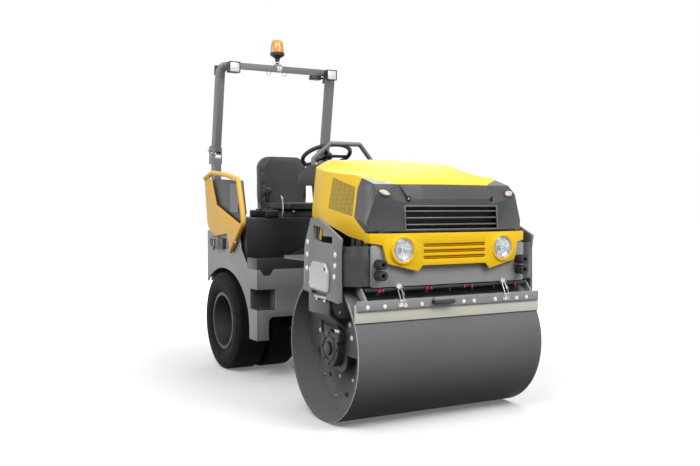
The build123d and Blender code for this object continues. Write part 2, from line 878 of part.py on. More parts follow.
# Pivot nose of the rear frame: two lugs, webs, the pivot pin and the steering barrel's pin
eye_bottom = knuckle_bottom + steer_arm_height + face_gap
web_top = deck_top - rear_plate
wall_back = rear_front - rear_plate
with BuildPart() as nose:
    with BuildSketch(Plane.XY.offset(lug_low)):
        Polygon((web_rear, 0), (web_rear, low_lug_half), (-150, low_lug_half), (0, lug_tip), (0, 0))
        mirror(about=Plane.XZ)
        Circle(lug_tip)
    extrude(amount=lug_plate)
    with BuildSketch(Plane.XY.offset(lug_high)):
        Polygon((rear_front, 0), (rear_front, lug_half), (-lug_corner, lug_half), (0, lug_tip), (0, 0))
        mirror(about=Plane.XZ)
        Circle(lug_tip)
    extrude(amount=lug_plate)
    with BuildSketch(Plane.XZ.offset(web_inner)):
        Polygon((rear_front, lug_low), (web_front, lug_low), (web_front, lug_high), (rear_front, lug_high))
        Polygon((web_rear, lug_low), (wall_back, lug_low), (wall_back, web_top), (web_rear, web_top))
    extrude(amount=web_plate)
    mirror(about=Plane.XZ)
    with BuildSketch(Plane.XY.offset(lug_low - 10)):
        Circle(pivot_pin)
    extrude(amount=lug_high + lug_plate + 10 - lug_low)
    with BuildSketch(Plane.XY.offset(lug_low)):
        with Locations((barrel_pin_x, -steer_arm)):
            Circle(rod_pin)
    extrude(amount=eye_bottom + eye_height + rod_pin_proud - lug_low)
save(nose, "pivot_nose")

# Steering cylinder beside the pivot, its barrel pinned to the nose
cylinder_z = eye_bottom + eye_height / 2
with BuildPart() as barrel:
    with BuildSketch(Plane.YZ.offset(barrel_pin_x)):
        with Locations((-steer_arm, cylinder_z)):
            Circle(barrel_radius)
    extrude(amount=barrel_mouth - barrel_pin_x)
    with BuildSketch(Plane.XY.offset(eye_bottom)):
        with Locations((barrel_pin_x, -steer_arm)):
            Circle(rod_eye_radius)
    extrude(amount=eye_height)
    with BuildSketch(Plane.XY.offset(eye_bottom - barrel_radius)):
        with Locations((barrel_pin_x, -steer_arm)):
            Circle(rod_pin + run_gap)
    extrude(amount=eye_height + 2 * barrel_radius, mode=Mode.SUBTRACT)
    with BuildSketch(Plane.YZ.offset(barrel_bore_end)):
        with Locations((-steer_arm, cylinder_z)):
            Circle(rod_radius + run_gap)
    extrude(amount=barrel_mouth - barrel_bore_end, mode=Mode.SUBTRACT)
save(barrel, "steer_barrel")

with BuildPart() as rod:
    with BuildSketch(Plane.YZ.offset(rod_inner_end)):
        with Locations((-steer_arm, cylinder_z)):
            Circle(rod_radius)
    extrude(amount=-rod_inner_end)
    with BuildSketch(Plane.XY.offset(eye_bottom)):
        with Locations((0, -steer_arm)):
            Circle(rod_eye_radius)
    extrude(amount=eye_height)
    with BuildSketch(Plane.XY.offset(eye_bottom)):
        with Locations((0, -steer_arm)):
            Circle(rod_pin)
    extrude(amount=eye_height + rod_pin_proud)
save(rod, "steer_rod")

# Rear frame: side plates with wheel arches and a step notch in the front corner
with BuildPart() as rear_sides:
    with BuildSketch(Plane.XZ.offset(rear_half - rear_plate)):
        Polygon(
            (rear_front, frame_bottom),
            (rear_front, deck_top),
            (pan_rear, deck_top),
            *rear_points((318, 120)),
            (axle_x + 280, rear_top),
            (rear_end, rear_top),
            (rear_end, frame_bottom),
        )
        with Locations((axle_x, tyre_radius)):
            Ellipse(arch_half, arch_height, mode=Mode.SUBTRACT)
            Rectangle(2 * arch_half, tyre_radius, align=(Align.CENTER, Align.MAX), mode=Mode.SUBTRACT)
        with Locations((rear_front, step_low)):
            Rectangle(step_length, step_high - step_low, align=(Align.MAX, Align.MIN), mode=Mode.SUBTRACT)
    extrude(amount=rear_plate)
    mirror(about=Plane.XZ)
save(rear_sides, "rear_side_plates")

wall_half = rear_half - rear_plate
leg_half = wall_half - leg_width
with BuildPart() as rear_wall:
    with BuildSketch(Plane.YZ.offset(wall_back)):
        with Locations((0, frame_bottom)):
            Rectangle(2 * wall_half, deck_top - frame_bottom, align=(Align.CENTER, Align.MIN))
        for side in (-1, 1):
            with Locations((side * wall_half, step_low)):
                Rectangle(
                    2 * step_length,
                    step_high - step_low,
                    align=(Align.CENTER, Align.MIN),
                    mode=Mode.SUBTRACT,
                )
            Polygon(
                (side * (leg_half - 37), deck_top),
                (side * (leg_half - 8), deck_top - wall_notch),
                (side * (leg_half + 35), deck_top - wall_notch),
                (side * (leg_half + 63), deck_top),
                mode=Mode.SUBTRACT,
            )
    extrude(amount=rear_plate)
    with BuildSketch(Plane.YZ.offset(wall_back)):
        with Locations((0, leg_top)):
            gap_height = 2 * (leg_top - frame_bottom)
            RectangleRounded(2 * leg_half, gap_height, leg_corner, align=(Align.CENTER, Align.MAX))
    extrude(amount=rear_plate, mode=Mode.SUBTRACT)
save(rear_wall, "rear_front_wall")

with BuildPart() as rear_deck:
    with BuildSketch(Plane.XY.offset(deck_top - rear_plate)):
        with Locations((back_wall_x, 0)):
            Rectangle(wall_back - back_wall_x, 2 * wall_half, align=(Align.MIN, Align.CENTER))
    extrude(amount=rear_plate)
    with BuildSketch(Plane.YZ.offset(back_wall_x)):
        with Locations((0, back_wall_low)):
            Rectangle(2 * wall_half, rear_top - back_wall_low, align=(Align.CENTER, Align.MIN))
    extrude(amount=rear_plate)
save(rear_deck, "rear_deck")

# Step pockets: bent plates that close the notches in the front corners
pocket_inner = wall_half - step_length
pocket_back = rear_front - step_length
with BuildPart() as steps:
    with BuildSketch(Plane.XY.offset(step_low)):
        with Locations((rear_front, -pocket_inner)):
            Rectangle(step_length, step_length + rear_plate, align=Align.MAX)
    extrude(amount=step_wall)
    with BuildSketch(Plane.XY.offset(step_low)):
        Polygon(
            (wall_back, -pocket_inner),
            (pocket_back, -pocket_inner),
            (pocket_back, -wall_half),
            (pocket_back + step_wall, -wall_half),
            (pocket_back + step_wall, -pocket_inner - step_wall),
            (wall_back, -pocket_inner - step_wall),
        )
    extrude(amount=step_high - step_low)
    mirror(about=Plane.XZ)
save(steps, "step_pockets")

# Axle carrier hung under the deck between the tyre pairs
with BuildPart() as axle_carrier:
    with BuildSketch(Plane.XZ):
        with Locations((axle_x, tyre_radius)):
            Circle(axle_boss)
        Polygon(
            (axle_x - axle_boss, tyre_radius),
            (axle_x + axle_boss, tyre_radius),
            (axle_x + axle_foot, deck_top - rear_plate),
            (axle_x - axle_foot, deck_top - rear_plate),
        )
        with Locations((axle_x, tyre_radius)):
            Circle(hub_radius + run_gap, mode=Mode.SUBTRACT)
    extrude(amount=carrier_half_width, both=True)
save(axle_carrier, "axle_carrier")


# Rear wheels: two tyres and two rims on one hub, on each side
outer_mid = twin_outer - tyre_width / 2
inner_mid = outer_mid - tyre_width - twin_gap
bead_half = tyre_width / 2 - bead_inset
axle_line = Axis((axle_x, 0, tyre_radius), (0, 1, 0))


def tyre_profile(mid):
    half = tyre_width / 2
    tread_half = half - tread_inset
    bead_top = rim_flange_radius + seat_gap
    bulge = tyre_radius - 77
    shoulder = tyre_radius - 27
    with BuildSketch(Plane.YZ.offset(axle_x)) as profile:
        with BuildLine(Location((mid, tyre_radius))):
            Line((-bead_half, bead_radius), (bead_half, bead_radius))
            Line((bead_half, bead_radius), (bead_half, bead_top))
            ThreePointArc((bead_half, bead_top), (half, bulge), (half - 8, shoulder))
            ThreePointArc((half - 8, shoulder), (half - 14, tyre_radius - 8), (tread_half, tyre_radius))
            Line((tread_half, tyre_radius), (-tread_half, tyre_radius))
            ThreePointArc((-tread_half, tyre_radius), (14 - half, tyre_radius - 8), (8 - half, shoulder))
            ThreePointArc((8 - half, shoulder), (-half, bulge), (-bead_half, bead_top))
            Line((-bead_half, bead_top), (-bead_half, bead_radius))
        make_face()
    return profile


def rim_profile(mid, side):
    barrel_in = bead_radius - seat_gap - rim_wall
    with BuildSketch(Plane.YZ.offset(axle_x)) as profile:
        with Locations((mid, tyre_radius + barrel_in)):
            Rectangle(2 * bead_half, rim_wall, align=(Align.CENTER, Align.MIN))
        for edge in (-1, 1):
            with Locations((mid + edge * (bead_half + rim_flange_wall / 2), tyre_radius + barrel_in)):
                Rectangle(rim_flange_wall, rim_flange_radius - barrel_in, align=(Align.CENTER, Align.MIN))
        with Locations((mid - side * rim_disc_inset, tyre_radius + hub_radius)):
            Rectangle(rim_disc_wall, barrel_in - hub_radius, align=(Align.CENTER, Align.MIN))
    return profile


for side_name, side in (("left", 1), ("right", -1)):
    with BuildPart() as tyres:
        for mid in (inner_mid, outer_mid):
            add(tyre_profile(side * mid).sketch)
        revolve(axis=axle_line)
    save(tyres, f"tyres_{side_name}")

    with BuildPart() as rims:
        for mid in (inner_mid, outer_mid):
            add(rim_profile(side * mid, side).sketch)
        revolve(axis=axle_line)
        with BuildSketch(Plane.XZ):
            with Locations((axle_x, tyre_radius)):
                with PolarLocations(rim_hole_circle, rim_hole_count):
                    Circle(rim_hole_radius)
        extrude(amount=twin_outer, both=True, mode=Mode.SUBTRACT)
        with BuildSketch(Plane.XZ.offset(-side * hub_inner)):
            with Locations((axle_x, tyre_radius)):
                Circle(hub_radius)
        extrude(amount=-side * (outer_mid - rim_disc_inset + hub_end_length - hub_inner))
        for mid in (inner_mid, outer_mid):
            flange_place = mid - rim_disc_inset - rim_disc_wall / 2 - hub_flange_wall
            with BuildSketch(Plane.XZ.offset(-side * flange_place)):
                with Locations((axle_x, tyre_radius)):
                    Circle(hub_flange_radius)
            extrude(amount=-side * hub_flange_wall)
    save(rims, f"rims_{side_name}")

# Foot pan with a kick wall in front that rises to the steering console
with BuildPart() as pan:
    with BuildSketch(Plane.XY.offset(deck_top)):
        Polygon(
            (seat_box_front, 0),
            (seat_box_front, wall_half - 2),
            (pan_rear, wall_half - 2),
            (pan_rear, rear_half),
            (rear_front, rear_half),
            (rear_front, 0),
        )
        mirror(about=Plane.XZ)
    extrude(amount=pan_wall)
    with BuildSketch(Plane.XY.offset(deck_top)):
        with Locations((rear_front, rear_half)):
            Rectangle(rear_front - pan_rear, pan_wall, align=Align.MAX)
        mirror(about=Plane.XZ)
    extrude(amount=kick_top - deck_top)
    with BuildSketch(Plane.YZ.offset(rear_front - pan_wall)):
        Polygon(
            (0, deck_top),
            (rear_half, deck_top),
            (rear_half, kick_top),
            (kick_shoulder, kick_top),
            (kick_middle, kick_middle_top),
            (0, kick_middle_top),
        )
        mirror(about=Plane.YZ)
    extrude(amount=pan_wall)
save(pan, "foot_pan")

# Seat box: moulded box under the seat between the side plates
box_rear = back_wall_x + rear_plate
with BuildPart() as seat_box:
    with BuildSketch(Plane.XZ):
        Polygon(
            (box_rear, deck_top),
            (seat_box_front, deck_top),
            (seat_box_front - seat_box_lean, seat_box_top),
            (box_rear, seat_box_top),
        )
    extrude(amount=seat_box_half, both=True)
    with BuildSketch(Plane.XY.offset(seat_box_top)):
        with Locations((seat_x + cushion_length / 2 - 20, 0)):
            Rectangle(cushion_length - 60, 2 * seat_frame_half)
    extrude(amount=seat_frame_height)
save(seat_box, "seat_box")

# Steering console: column on the nose with an instrument pod
wheel_axis = (-sin(radians(wheel_tilt)), 0, cos(radians(wheel_tilt)))
wheel_plane = Plane((wheel_x, 0, wheel_z), x_dir=(0, 1, 0), z_dir=wheel_axis)
with BuildPart() as console:
    with BuildSketch(Plane.XY.offset(lug_high + lug_plate)):
        with Locations((console_x, 0)):
            RectangleRounded(console_depth, 2 * lug_half - 20, console_corner)
    with BuildSketch(Plane.XY.offset(pod_bottom)):
        with Locations((console_x - 20, 0)):
            RectangleRounded(console_depth, 2 * console_half, console_corner)
    loft()
    with BuildSketch(Plane.XZ):
        Polygon(
            (console_x - 140, pod_bottom),
            (console_x + 100, pod_bottom),
            (console_x + 110, pod_top),
            (console_x, pod_top),
            (console_x - 150, pod_top - 60),
        )
    extrude(amount=pod_half, both=True)
    with BuildSketch(wheel_plane.offset(-column_gap)):
        Circle(column_radius)
    extrude(amount=-column_length)
save(console, "steering_console")

wheel_across = wheel_plane.x_dir.cross(wheel_plane.z_dir)
wheel_section = Plane(wheel_plane.origin, x_dir=wheel_plane.x_dir, z_dir=wheel_across)
with BuildPart() as steering_wheel:
    with BuildSketch(wheel_section):
        with Locations((wheel_radius, 0)):
            Circle(wheel_tube)
    revolve(axis=Axis(wheel_plane.origin, wheel_plane.z_dir))
    with BuildSketch(wheel_plane.offset(-column_gap)):
        Circle(wheel_hub_radius)
    extrude(amount=wheel_hub_height)
    with BuildSketch(wheel_plane.offset(-6)):
        with PolarLocations(wheel_radius / 2, 3):
            Rectangle(wheel_radius, spoke_width)
    extrude(amount=spoke_plate)
save(steering_wheel, "steering_wheel")

# Grab bar over the console
bar_x = console_x + 30
with BuildPart() as grab_bar:
    with BuildLine() as bar_path:
        FilletPolyline(
            (bar_x, -bar_half, pod_top),
            (bar_x, -bar_half, bar_top - 100),
            (bar_x + 37, -bar_half / 2, bar_top),
            (bar_x + 37, bar_half / 2, bar_top),
            (bar_x, bar_half, bar_top - 100),
            (bar_x, bar_half, pod_top),
            radius=bar_bend,
        )
    with BuildSketch(Plane(bar_path.line @ 0, z_dir=bar_path.line % 0)):
        Circle(bar_radius)
    sweep()
save(grab_bar, "grab_bar")

# Seat: cushion and backrest on the seat box
cushion_low = seat_box_top + seat_frame_height
with BuildPart() as cushion:
    with BuildSketch(Plane.XY.offset(cushion_low)):
        with Locations((seat_x + cushion_length / 2, 0)):
            RectangleRounded(cushion_length, 2 * seat_half, cushion_corner)
    extrude(amount=cushion_top - cushion_low)
save(cushion, "seat_cushion")

with BuildPart() as backrest:
    with BuildSketch(Plane.YZ.offset(seat_x - back_depth - back_gap)):
        with Locations((0, (seat_box_top + back_top) / 2)):
            RectangleRounded(2 * seat_half, back_top - seat_box_top, back_corner)
    extrude(amount=back_depth)
save(backrest, "seat_backrest")

# Armrest console with the travel lever, at the right of the seat
with BuildPart() as lever_console:
    with Locations((lever_x - lever_box_length / 2 + lever_setback, -lever_y, seat_box_top)):
        Box(
            lever_box_length,
            lever_box_width,
            lever_box_height,
            align=(Align.CENTER, Align.CENTER, Align.MIN),
        )
    with Locations((lever_x, -lever_y, seat_box_top + lever_box_height)):
        Cylinder(lever_radius, lever_length, align=(Align.CENTER, Align.CENTER, Align.MIN))
    with Locations((lever_x, -lever_y, seat_box_top + lever_box_height + lever_length + 10)):
        Sphere(knob_radius)
save(lever_console, "lever_console")

# Side guards: bent tube with a sheet below it, on stand-off bosses
tube_path = rear_points(
    (179, 103), (422, 304), (406, 371), (328, 599), (91, 637), (-182, 659), (-337, 623)
)
sheet_outline = rear_points(
    (-348, 623), (-293, 313), (-264, 255), (-140, 199), (111, 223), (179, 103),
    (422, 304), (357, 296), (-91, 425), (-189, 600), (-260, 632),
)
with BuildPart() as guards:
    with BuildLine(Plane.XZ.offset(guard_y)) as guard_path:
        FilletPolyline(*tube_path, radius=guard_bend)
    with BuildSketch(Plane(guard_path.line @ 0, z_dir=guard_path.line % 0)):
        Circle(guard_tube)
    sweep()
    with BuildSketch(Plane.XZ.offset(guard_y - guard_sheet / 2)):
        Polygon(*sheet_outline)
    extrude(amount=guard_sheet)
    with BuildSketch(Plane.XZ.offset(rear_half)):
        with Locations(*rear_points((-200, 262), (150, 215))):
            Circle(guard_boss)
    extrude(amount=guard_y - rear_half)
    mirror(about=Plane.XZ)
save(guards, "side_guards")

# Side panels inside the guards, standing on the side plates
with BuildPart() as side_panels:
    with BuildSketch(Plane.XZ.offset(seat_box_half)):
        Polygon(
            (back_wall_x, rear_top),
            (axle_x + 280, rear_top),
            *rear_points((370, 372), (310, 592), (-180, 614)),
            (back_wall_x, deck_top + 582),
        )
    extrude(amount=rear_half - seat_box_half)
    mirror(about=Plane.XZ)
save(side_panels, "side_panels")

# Roll bar: fixed lower posts with hinge cheeks, and the hoop that folds back
cheek_rear = fold_x - fold_lug
with BuildPart() as posts:
    with BuildSketch(Plane.XY.offset(post_low)):
        with Locations((back_wall_x - post_depth / 2, -post_outer + post_width / 2)):
            Rectangle(post_depth, post_width)
    extrude(amount=post_top - post_low)
    for cheek in (post_outer, post_outer - post_width - cheek_plate):
        with BuildSketch(Plane.XZ.offset(cheek)):
            Polygon(
                (cheek_rear, cheek_low),
                (back_wall_x, cheek_low),
                (back_wall_x, fold_z + 16),
                (fold_x + 32, fold_z + 36),
                (cheek_rear, fold_z + 26),
            )
        extrude(amount=cheek_plate)
    with BuildSketch(Plane.XZ.offset(post_outer - post_width)):
        with Locations((fold_x, fold_z)):
            Circle(fold_pin)
    extrude(amount=post_width)
    mirror(about=Plane.XZ)
save(posts, "rops_posts")

hoop_rear = back_wall_x - post_depth
hoop_half = post_outer - cheek_side_gap
hoop_tube = post_width - 2 * cheek_side_gap
hoop_base = Plane(
    (hoop_rear, 0, fold_z - 2),
    x_dir=(0, 1, 0),
    z_dir=(cos(radians(hoop_lean)), 0, -sin(radians(hoop_lean))),
)
bar_middle = hoop_height - post_width / 2
beacon_place = hoop_base.from_local_coords((0, hoop_height, post_depth / 2))
beacon_seat = beacon_place.Z + 8
with BuildPart() as hoop:
    with BuildSketch(hoop_base) as hoop_sketch:
        Rectangle(2 * hoop_half, hoop_height, align=(Align.CENTER, Align.MIN))
        fillet(hoop_sketch.vertices().sort_by(Axis.Y)[-2:], hoop_corner)
        with BuildSketch(mode=Mode.SUBTRACT) as hoop_window:
            window_half = hoop_half - hoop_tube
            Rectangle(2 * window_half, hoop_height - post_width, align=(Align.CENTER, Align.MIN))
            fillet(hoop_window.vertices().sort_by(Axis.Y)[-2:], hoop_corner - post_width)
    extrude(amount=post_depth)
    for side in (-1, 1):
        lug_place = side * (post_outer - post_width / 2) + hoop_tube / 2
        with BuildSketch(Plane.XZ.offset(lug_place)):
            with Locations((fold_x, fold_z)):
                Circle(fold_lug)
            Polygon(
                (fold_x, fold_z + fold_lug),
                (fold_x, fold_z),
                (hoop_rear + 20, fold_z + 2),
                (hoop_rear + 30, fold_z + 60),
            )
            with Locations((fold_x, fold_z)):
                Circle(fold_pin + run_gap, mode=Mode.SUBTRACT)
        extrude(amount=-hoop_tube)
    with Locations((beacon_place.X, 0, beacon_seat)):
        Box(beacon_pad, beacon_pad, beacon_pad_height, align=(Align.CENTER, Align.CENTER, Align.MAX))
save(hoop, "rops_hoop")

# Work lights on arms in front of the crossbar
light_y = post_outer - light_inset
light_place = hoop_base.from_local_coords((0, bar_middle, post_depth + light_arm))
with BuildPart() as work_lights:
    with BuildSketch(hoop_base.offset(post_depth)):
        with Locations((-light_y, bar_middle), (light_y, bar_middle)):
            Rectangle(30, 24)
    extrude(amount=light_arm)
    for side in (-1, 1):
        with Locations((light_place.X - light_drop, side * light_y, light_place.Z - light_drop)):
            Box(light_depth, light_width, light_height, align=(Align.MIN, Align.CENTER, Align.CENTER))
save(work_lights, "work_lights")

# Beacon on its stem in the middle of the crossbar
beacon_low = beacon_seat + beacon_stem
with BuildPart() as beacon:
    with BuildSketch(Plane.XY.offset(beacon_seat)):
        with Locations((beacon_place.X, 0)):
            Circle(beacon_stem_radius)
    extrude(amount=beacon_stem)
    with BuildSketch(Plane.XY.offset(beacon_low)):
        with Locations((beacon_place.X, 0)):
            Circle(beacon_radius)
    extrude(amount=beacon_base)
    with BuildSketch(Plane.XY.offset(beacon_low + beacon_base)):
        with Locations((beacon_place.X, 0)):
            Circle(beacon_radius - 4)
    extrude(amount=beacon_dome)
    fillet(beacon.edges().sort_by(Axis.Z)[-1], beacon_radius / 2)
save(beacon, "beacon")

# Rear lamps and tow hitch
with BuildPart() as rear_lamps:
    with BuildSketch(Plane.YZ.offset(back_wall_x)):
        with Locations((-lamp_box_y, deck_top + 152), (lamp_box_y, deck_top + 152)):
            Rectangle(70, 110)
    extrude(amount=-40)
save(rear_lamps, "rear_lamps")

with BuildPart() as hitch:
    with BuildSketch(Plane.XY.offset(hitch_z)):
        with Locations((back_wall_x, 0)):
            Rectangle(hitch_length, hitch_width, align=(Align.MAX, Align.CENTER))
            with Locations((hitch_hole_inset - hitch_length, 0)):
                Circle(hitch_hole, mode=Mode.SUBTRACT)
    extrude(amount=hitch_plate)
save(hitch, "tow_hitch")
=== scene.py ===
import json
import math

import bmesh
import bpy
from mathutils import Matrix, Vector
from mathutils.bvhtree import BVHTree


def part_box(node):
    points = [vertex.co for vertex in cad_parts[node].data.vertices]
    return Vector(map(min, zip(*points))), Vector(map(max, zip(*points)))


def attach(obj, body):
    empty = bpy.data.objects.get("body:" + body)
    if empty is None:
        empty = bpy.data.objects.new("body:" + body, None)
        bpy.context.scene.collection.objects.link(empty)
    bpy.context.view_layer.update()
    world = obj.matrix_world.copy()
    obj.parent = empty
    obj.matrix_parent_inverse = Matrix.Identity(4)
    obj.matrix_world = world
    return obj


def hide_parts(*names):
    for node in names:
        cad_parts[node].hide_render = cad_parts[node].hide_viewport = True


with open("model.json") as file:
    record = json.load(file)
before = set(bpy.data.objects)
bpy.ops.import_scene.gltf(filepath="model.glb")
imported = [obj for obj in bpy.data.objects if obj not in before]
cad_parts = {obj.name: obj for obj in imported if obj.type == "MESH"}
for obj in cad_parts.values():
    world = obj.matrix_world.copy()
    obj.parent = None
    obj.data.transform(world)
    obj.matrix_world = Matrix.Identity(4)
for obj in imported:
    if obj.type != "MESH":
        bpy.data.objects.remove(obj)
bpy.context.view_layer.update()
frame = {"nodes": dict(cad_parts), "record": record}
nodes = frame["nodes"]
scene = bpy.context.scene
print("frame loaded,", len(nodes), "nodes")


# camera at the photograph's place, studio floor and light
cameraSet = {"place": (4.903, -2.687, 1.172), "yaw": 150.93, "pitch": -1.89, "lens": 43.66}


def addCamera(spec):
    data = bpy.data.cameras.new("camera")
    data.lens = spec["lens"]
    data.sensor_width = 36
    data.clip_start = 0.05
    data.clip_end = 200
    camera = bpy.data.objects.new("camera", data)
    scene.collection.objects.link(camera)
    yaw = math.radians(spec["yaw"])
    pitch = math.radians(spec["pitch"])
    look = Vector((math.cos(yaw) * math.cos(pitch), math.sin(yaw) * math.cos(pitch), math.sin(pitch)))
    camera.location = spec["place"]
    camera.rotation_euler = look.to_track_quat("-Z", "Y").to_euler()
    scene.camera = camera


addCamera(cameraSet)
scene.view_settings.view_transform = "Standard"

lightSet = {
    "key": {"place": (3.2, -4.2, 5.2), "aim": (0.2, 0, 0.8), "size": 3.2, "power": 215},
    "top": {"place": (0.2, 0.6, 6.0), "aim": (0, 0, 0.8), "size": 4.5, "power": 80},
    "side": {"place": (-2.5, -5.0, 2.6), "aim": (-0.5, 0, 0.9), "size": 3.0, "power": 65},
    "front": {"place": (5.2, 1.6, 4.6), "aim": (1.0, 0, 0.9), "size": 3.0, "power": 250},
    "back": {"place": (-5.0, 3.0, 4.0), "aim": (-0.3, 0, 0.9), "size": 3.0, "power": 60},
}


def addLight(name, spec):
    data = bpy.data.lights.new(name, "AREA")
    data.size = spec["size"]
    data.energy = spec["power"]
    lamp = bpy.data.objects.new(name, data)
    scene.collection.objects.link(lamp)
    lamp.location = spec["place"]
    aim = Vector(spec["aim"]) - Vector(spec["place"])
    lamp.rotation_euler = aim.to_track_quat("-Z", "Y").to_euler()


for lightName, lightSpec in lightSet.items():
    addLight(lightName, lightSpec)


def cameraOrGloss(tree):
    path = tree.nodes.new("ShaderNodeLightPath")
    first = tree.nodes.new("ShaderNodeMath")
    first.operation = "MAXIMUM"
    second = tree.nodes.new("ShaderNodeMath")
    second.operation = "MAXIMUM"
    tree.links.new(path.outputs["Is Camera Ray"], first.inputs[0])
    tree.links.new(path.outputs["Is Glossy Ray"], first.inputs[1])
    tree.links.new(first.outputs[0], second.inputs[0])
    tree.links.new(path.outputs["Is Transmission Ray"], second.inputs[1])
    return second.outputs[0]


worldSet = {"light": (0.3, 0.304, 0.311, 1), "seen": (1, 1, 1, 1)}


def addWorld(spec):
    world = bpy.data.worlds.new("studio")
    scene.world = world
    world.use_nodes = True
    tree = world.node_tree
    tree.nodes.clear()
    out = tree.nodes.new("ShaderNodeOutputWorld")
    mix = tree.nodes.new("ShaderNodeMixShader")
    light = tree.nodes.new("ShaderNodeBackground")
    seen = tree.nodes.new("ShaderNodeBackground")
    light.inputs["Color"].default_value = spec["light"]
    seen.inputs["Color"].default_value = spec["seen"]
    tree.links.new(cameraOrGloss(tree), mix.inputs[0])
    tree.links.new(light.outputs[0], mix.inputs[1])
    tree.links.new(seen.outputs[0], mix.inputs[2])
    tree.links.new(mix.outputs[0], out.inputs["Surface"])


addWorld(worldSet)

floorSet = {
    "half": 40, "color": (0.86, 0.86, 0.87, 1), "bounce": (0.03, 0.03, 0.031, 1), "near": 1.2, "far": 4.5,
    "glow": 0.14,
}


def addFloor(spec):
    bm = bmesh.new()
    bmesh.ops.create_grid(bm, x_segments=1, y_segments=1, size=spec["half"])
    mesh = bpy.data.meshes.new("studioFloor")
    bm.to_mesh(mesh)
    bm.free()
    floor = bpy.data.objects.new("studioFloor", mesh)
    scene.collection.objects.link(floor)
    material = bpy.data.materials.new("floorPale")
    material.use_nodes = True
    tree = material.node_tree
    shader = tree.nodes["Principled BSDF"]
    shader.inputs["Base Color"].default_value = spec["color"]
    shader.inputs["Roughness"].default_value = 0.7
    away = tree.nodes.new("ShaderNodeVectorMath")
    away.operation = "LENGTH"
    tree.links.new(tree.nodes.new("ShaderNodeTexCoord").outputs["Object"], away.inputs[0])
    fade = tree.nodes.new("ShaderNodeMapRange")
    fade.interpolation_type = "SMOOTHSTEP"
    fade.inputs["From Min"].default_value = spec["near"]
    fade.inputs["From Max"].default_value = spec["far"]
    fade.inputs["To Min"].default_value = spec["glow"]
    tree.links.new(away.outputs["Value"], fade.inputs["Value"])
    glow = tree.nodes.new("ShaderNodeEmission")
    tree.links.new(fade.outputs["Result"], glow.inputs["Strength"])
    both = tree.nodes.new("ShaderNodeAddShader")
    tree.links.new(shader.outputs[0], both.inputs[0])
    tree.links.new(glow.outputs[0], both.inputs[1])
    dim = tree.nodes.new("ShaderNodeBsdfDiffuse")
    dim.inputs["Color"].default_value = spec["bounce"]
    mix = tree.nodes.new("ShaderNodeMixShader")
    tree.links.new(cameraOrGloss(tree), mix.inputs[0])
    tree.links.new(dim.outputs[0], mix.inputs[1])
    tree.links.new(both.outputs[0], mix.inputs[2])
    tree.links.new(mix.outputs[0], tree.nodes["Material Output"].inputs["Surface"])
    mesh.materials.append(material)


addFloor(floorSet)
print("camera, light and floor set")


# shared surface effects as node groups
def startGroup(name, sockets):
    tree = bpy.data.node_groups.new(name, "ShaderNodeTree")
    for label, kind, way, value in sockets:
        socket = tree.interface.new_socket(name=label, in_out=way, socket_type=kind)
        if value is not None:
            socket.default_value = value
    return tree, tree.nodes.new("NodeGroupInput"), tree.nodes.new("NodeGroupOutput")


def addNoise(tree, coords, detail, rough=0.5):
    noise = tree.nodes.new("ShaderNodeTexNoise")
    noise.inputs["Detail"].default_value = detail
    noise.inputs["Roughness"].default_value = rough
    tree.links.new(coords, noise.inputs["Vector"])
    return noise


def addRange(tree, value, low, high, start=0.3, end=0.7):
    node = tree.nodes.new("ShaderNodeMapRange")
    node.inputs["From Min"].default_value = start
    node.inputs["From Max"].default_value = end
    for socket, side in (("To Min", low), ("To Max", high)):
        if isinstance(side, (int, float)):
            node.inputs[socket].default_value = side
        else:
            tree.links.new(side, node.inputs[socket])
    tree.links.new(value, node.inputs["Value"])
    return node.outputs["Result"]


def addTint(tree, color, factor):
    node = tree.nodes.new("ShaderNodeVectorMath")
    node.operation = "SCALE"
    tree.links.new(color, node.inputs[0])
    tree.links.new(factor, node.inputs["Scale"])
    return node.outputs[0]


surfaceSockets = [
    ("Color", "NodeSocketColor", "INPUT", (0.5, 0.5, 0.5, 1)),
    ("Low Rough", "NodeSocketFloat", "INPUT", 0.3),
    ("High Rough", "NodeSocketFloat", "INPUT", 0.4),
    ("Cloud", "NodeSocketFloat", "INPUT", 0.04),
    ("Fine Scale", "NodeSocketFloat", "INPUT", 300.0),
    ("Color", "NodeSocketColor", "OUTPUT", None),
    ("Roughness", "NodeSocketFloat", "OUTPUT", None),
    ("Height", "NodeSocketFloat", "OUTPUT", None),
]


def cloudedColor(tree, entry, coords, scale):
    cloud = addNoise(tree, coords, 4)
    cloud.inputs["Scale"].default_value = scale
    low = tree.nodes.new("ShaderNodeMath")
    low.operation = "SUBTRACT"
    low.inputs[0].default_value = 1
    high = tree.nodes.new("ShaderNodeMath")
    high.operation = "ADD"
    high.inputs[0].default_value = 1
    tree.links.new(entry.outputs["Cloud"], low.inputs[1])
    tree.links.new(entry.outputs["Cloud"], high.inputs[1])
    factor = addRange(tree, cloud.outputs["Fac"], low.outputs[0], high.outputs[0])
    return addTint(tree, entry.outputs["Color"], factor)


def makePaintGroup():
    tree, entry, leave = startGroup("sprayedPaint", surfaceSockets)
    coords = tree.nodes.new("ShaderNodeTexCoord").outputs["Object"]
    color = cloudedColor(tree, entry, coords, 2.2)
    smear = addNoise(tree, coords, 5, 0.6)
    smear.inputs["Scale"].default_value = 14
    rough = addRange(tree, smear.outputs["Fac"], entry.outputs["Low Rough"], entry.outputs["High Rough"])
    peel = addNoise(tree, coords, 1)
    tree.links.new(entry.outputs["Fine Scale"], peel.inputs["Scale"])
    tree.links.new(color, leave.inputs["Color"])
    tree.links.new(rough, leave.inputs["Roughness"])
    tree.links.new(peel.outputs["Fac"], leave.inputs["Height"])
    return tree


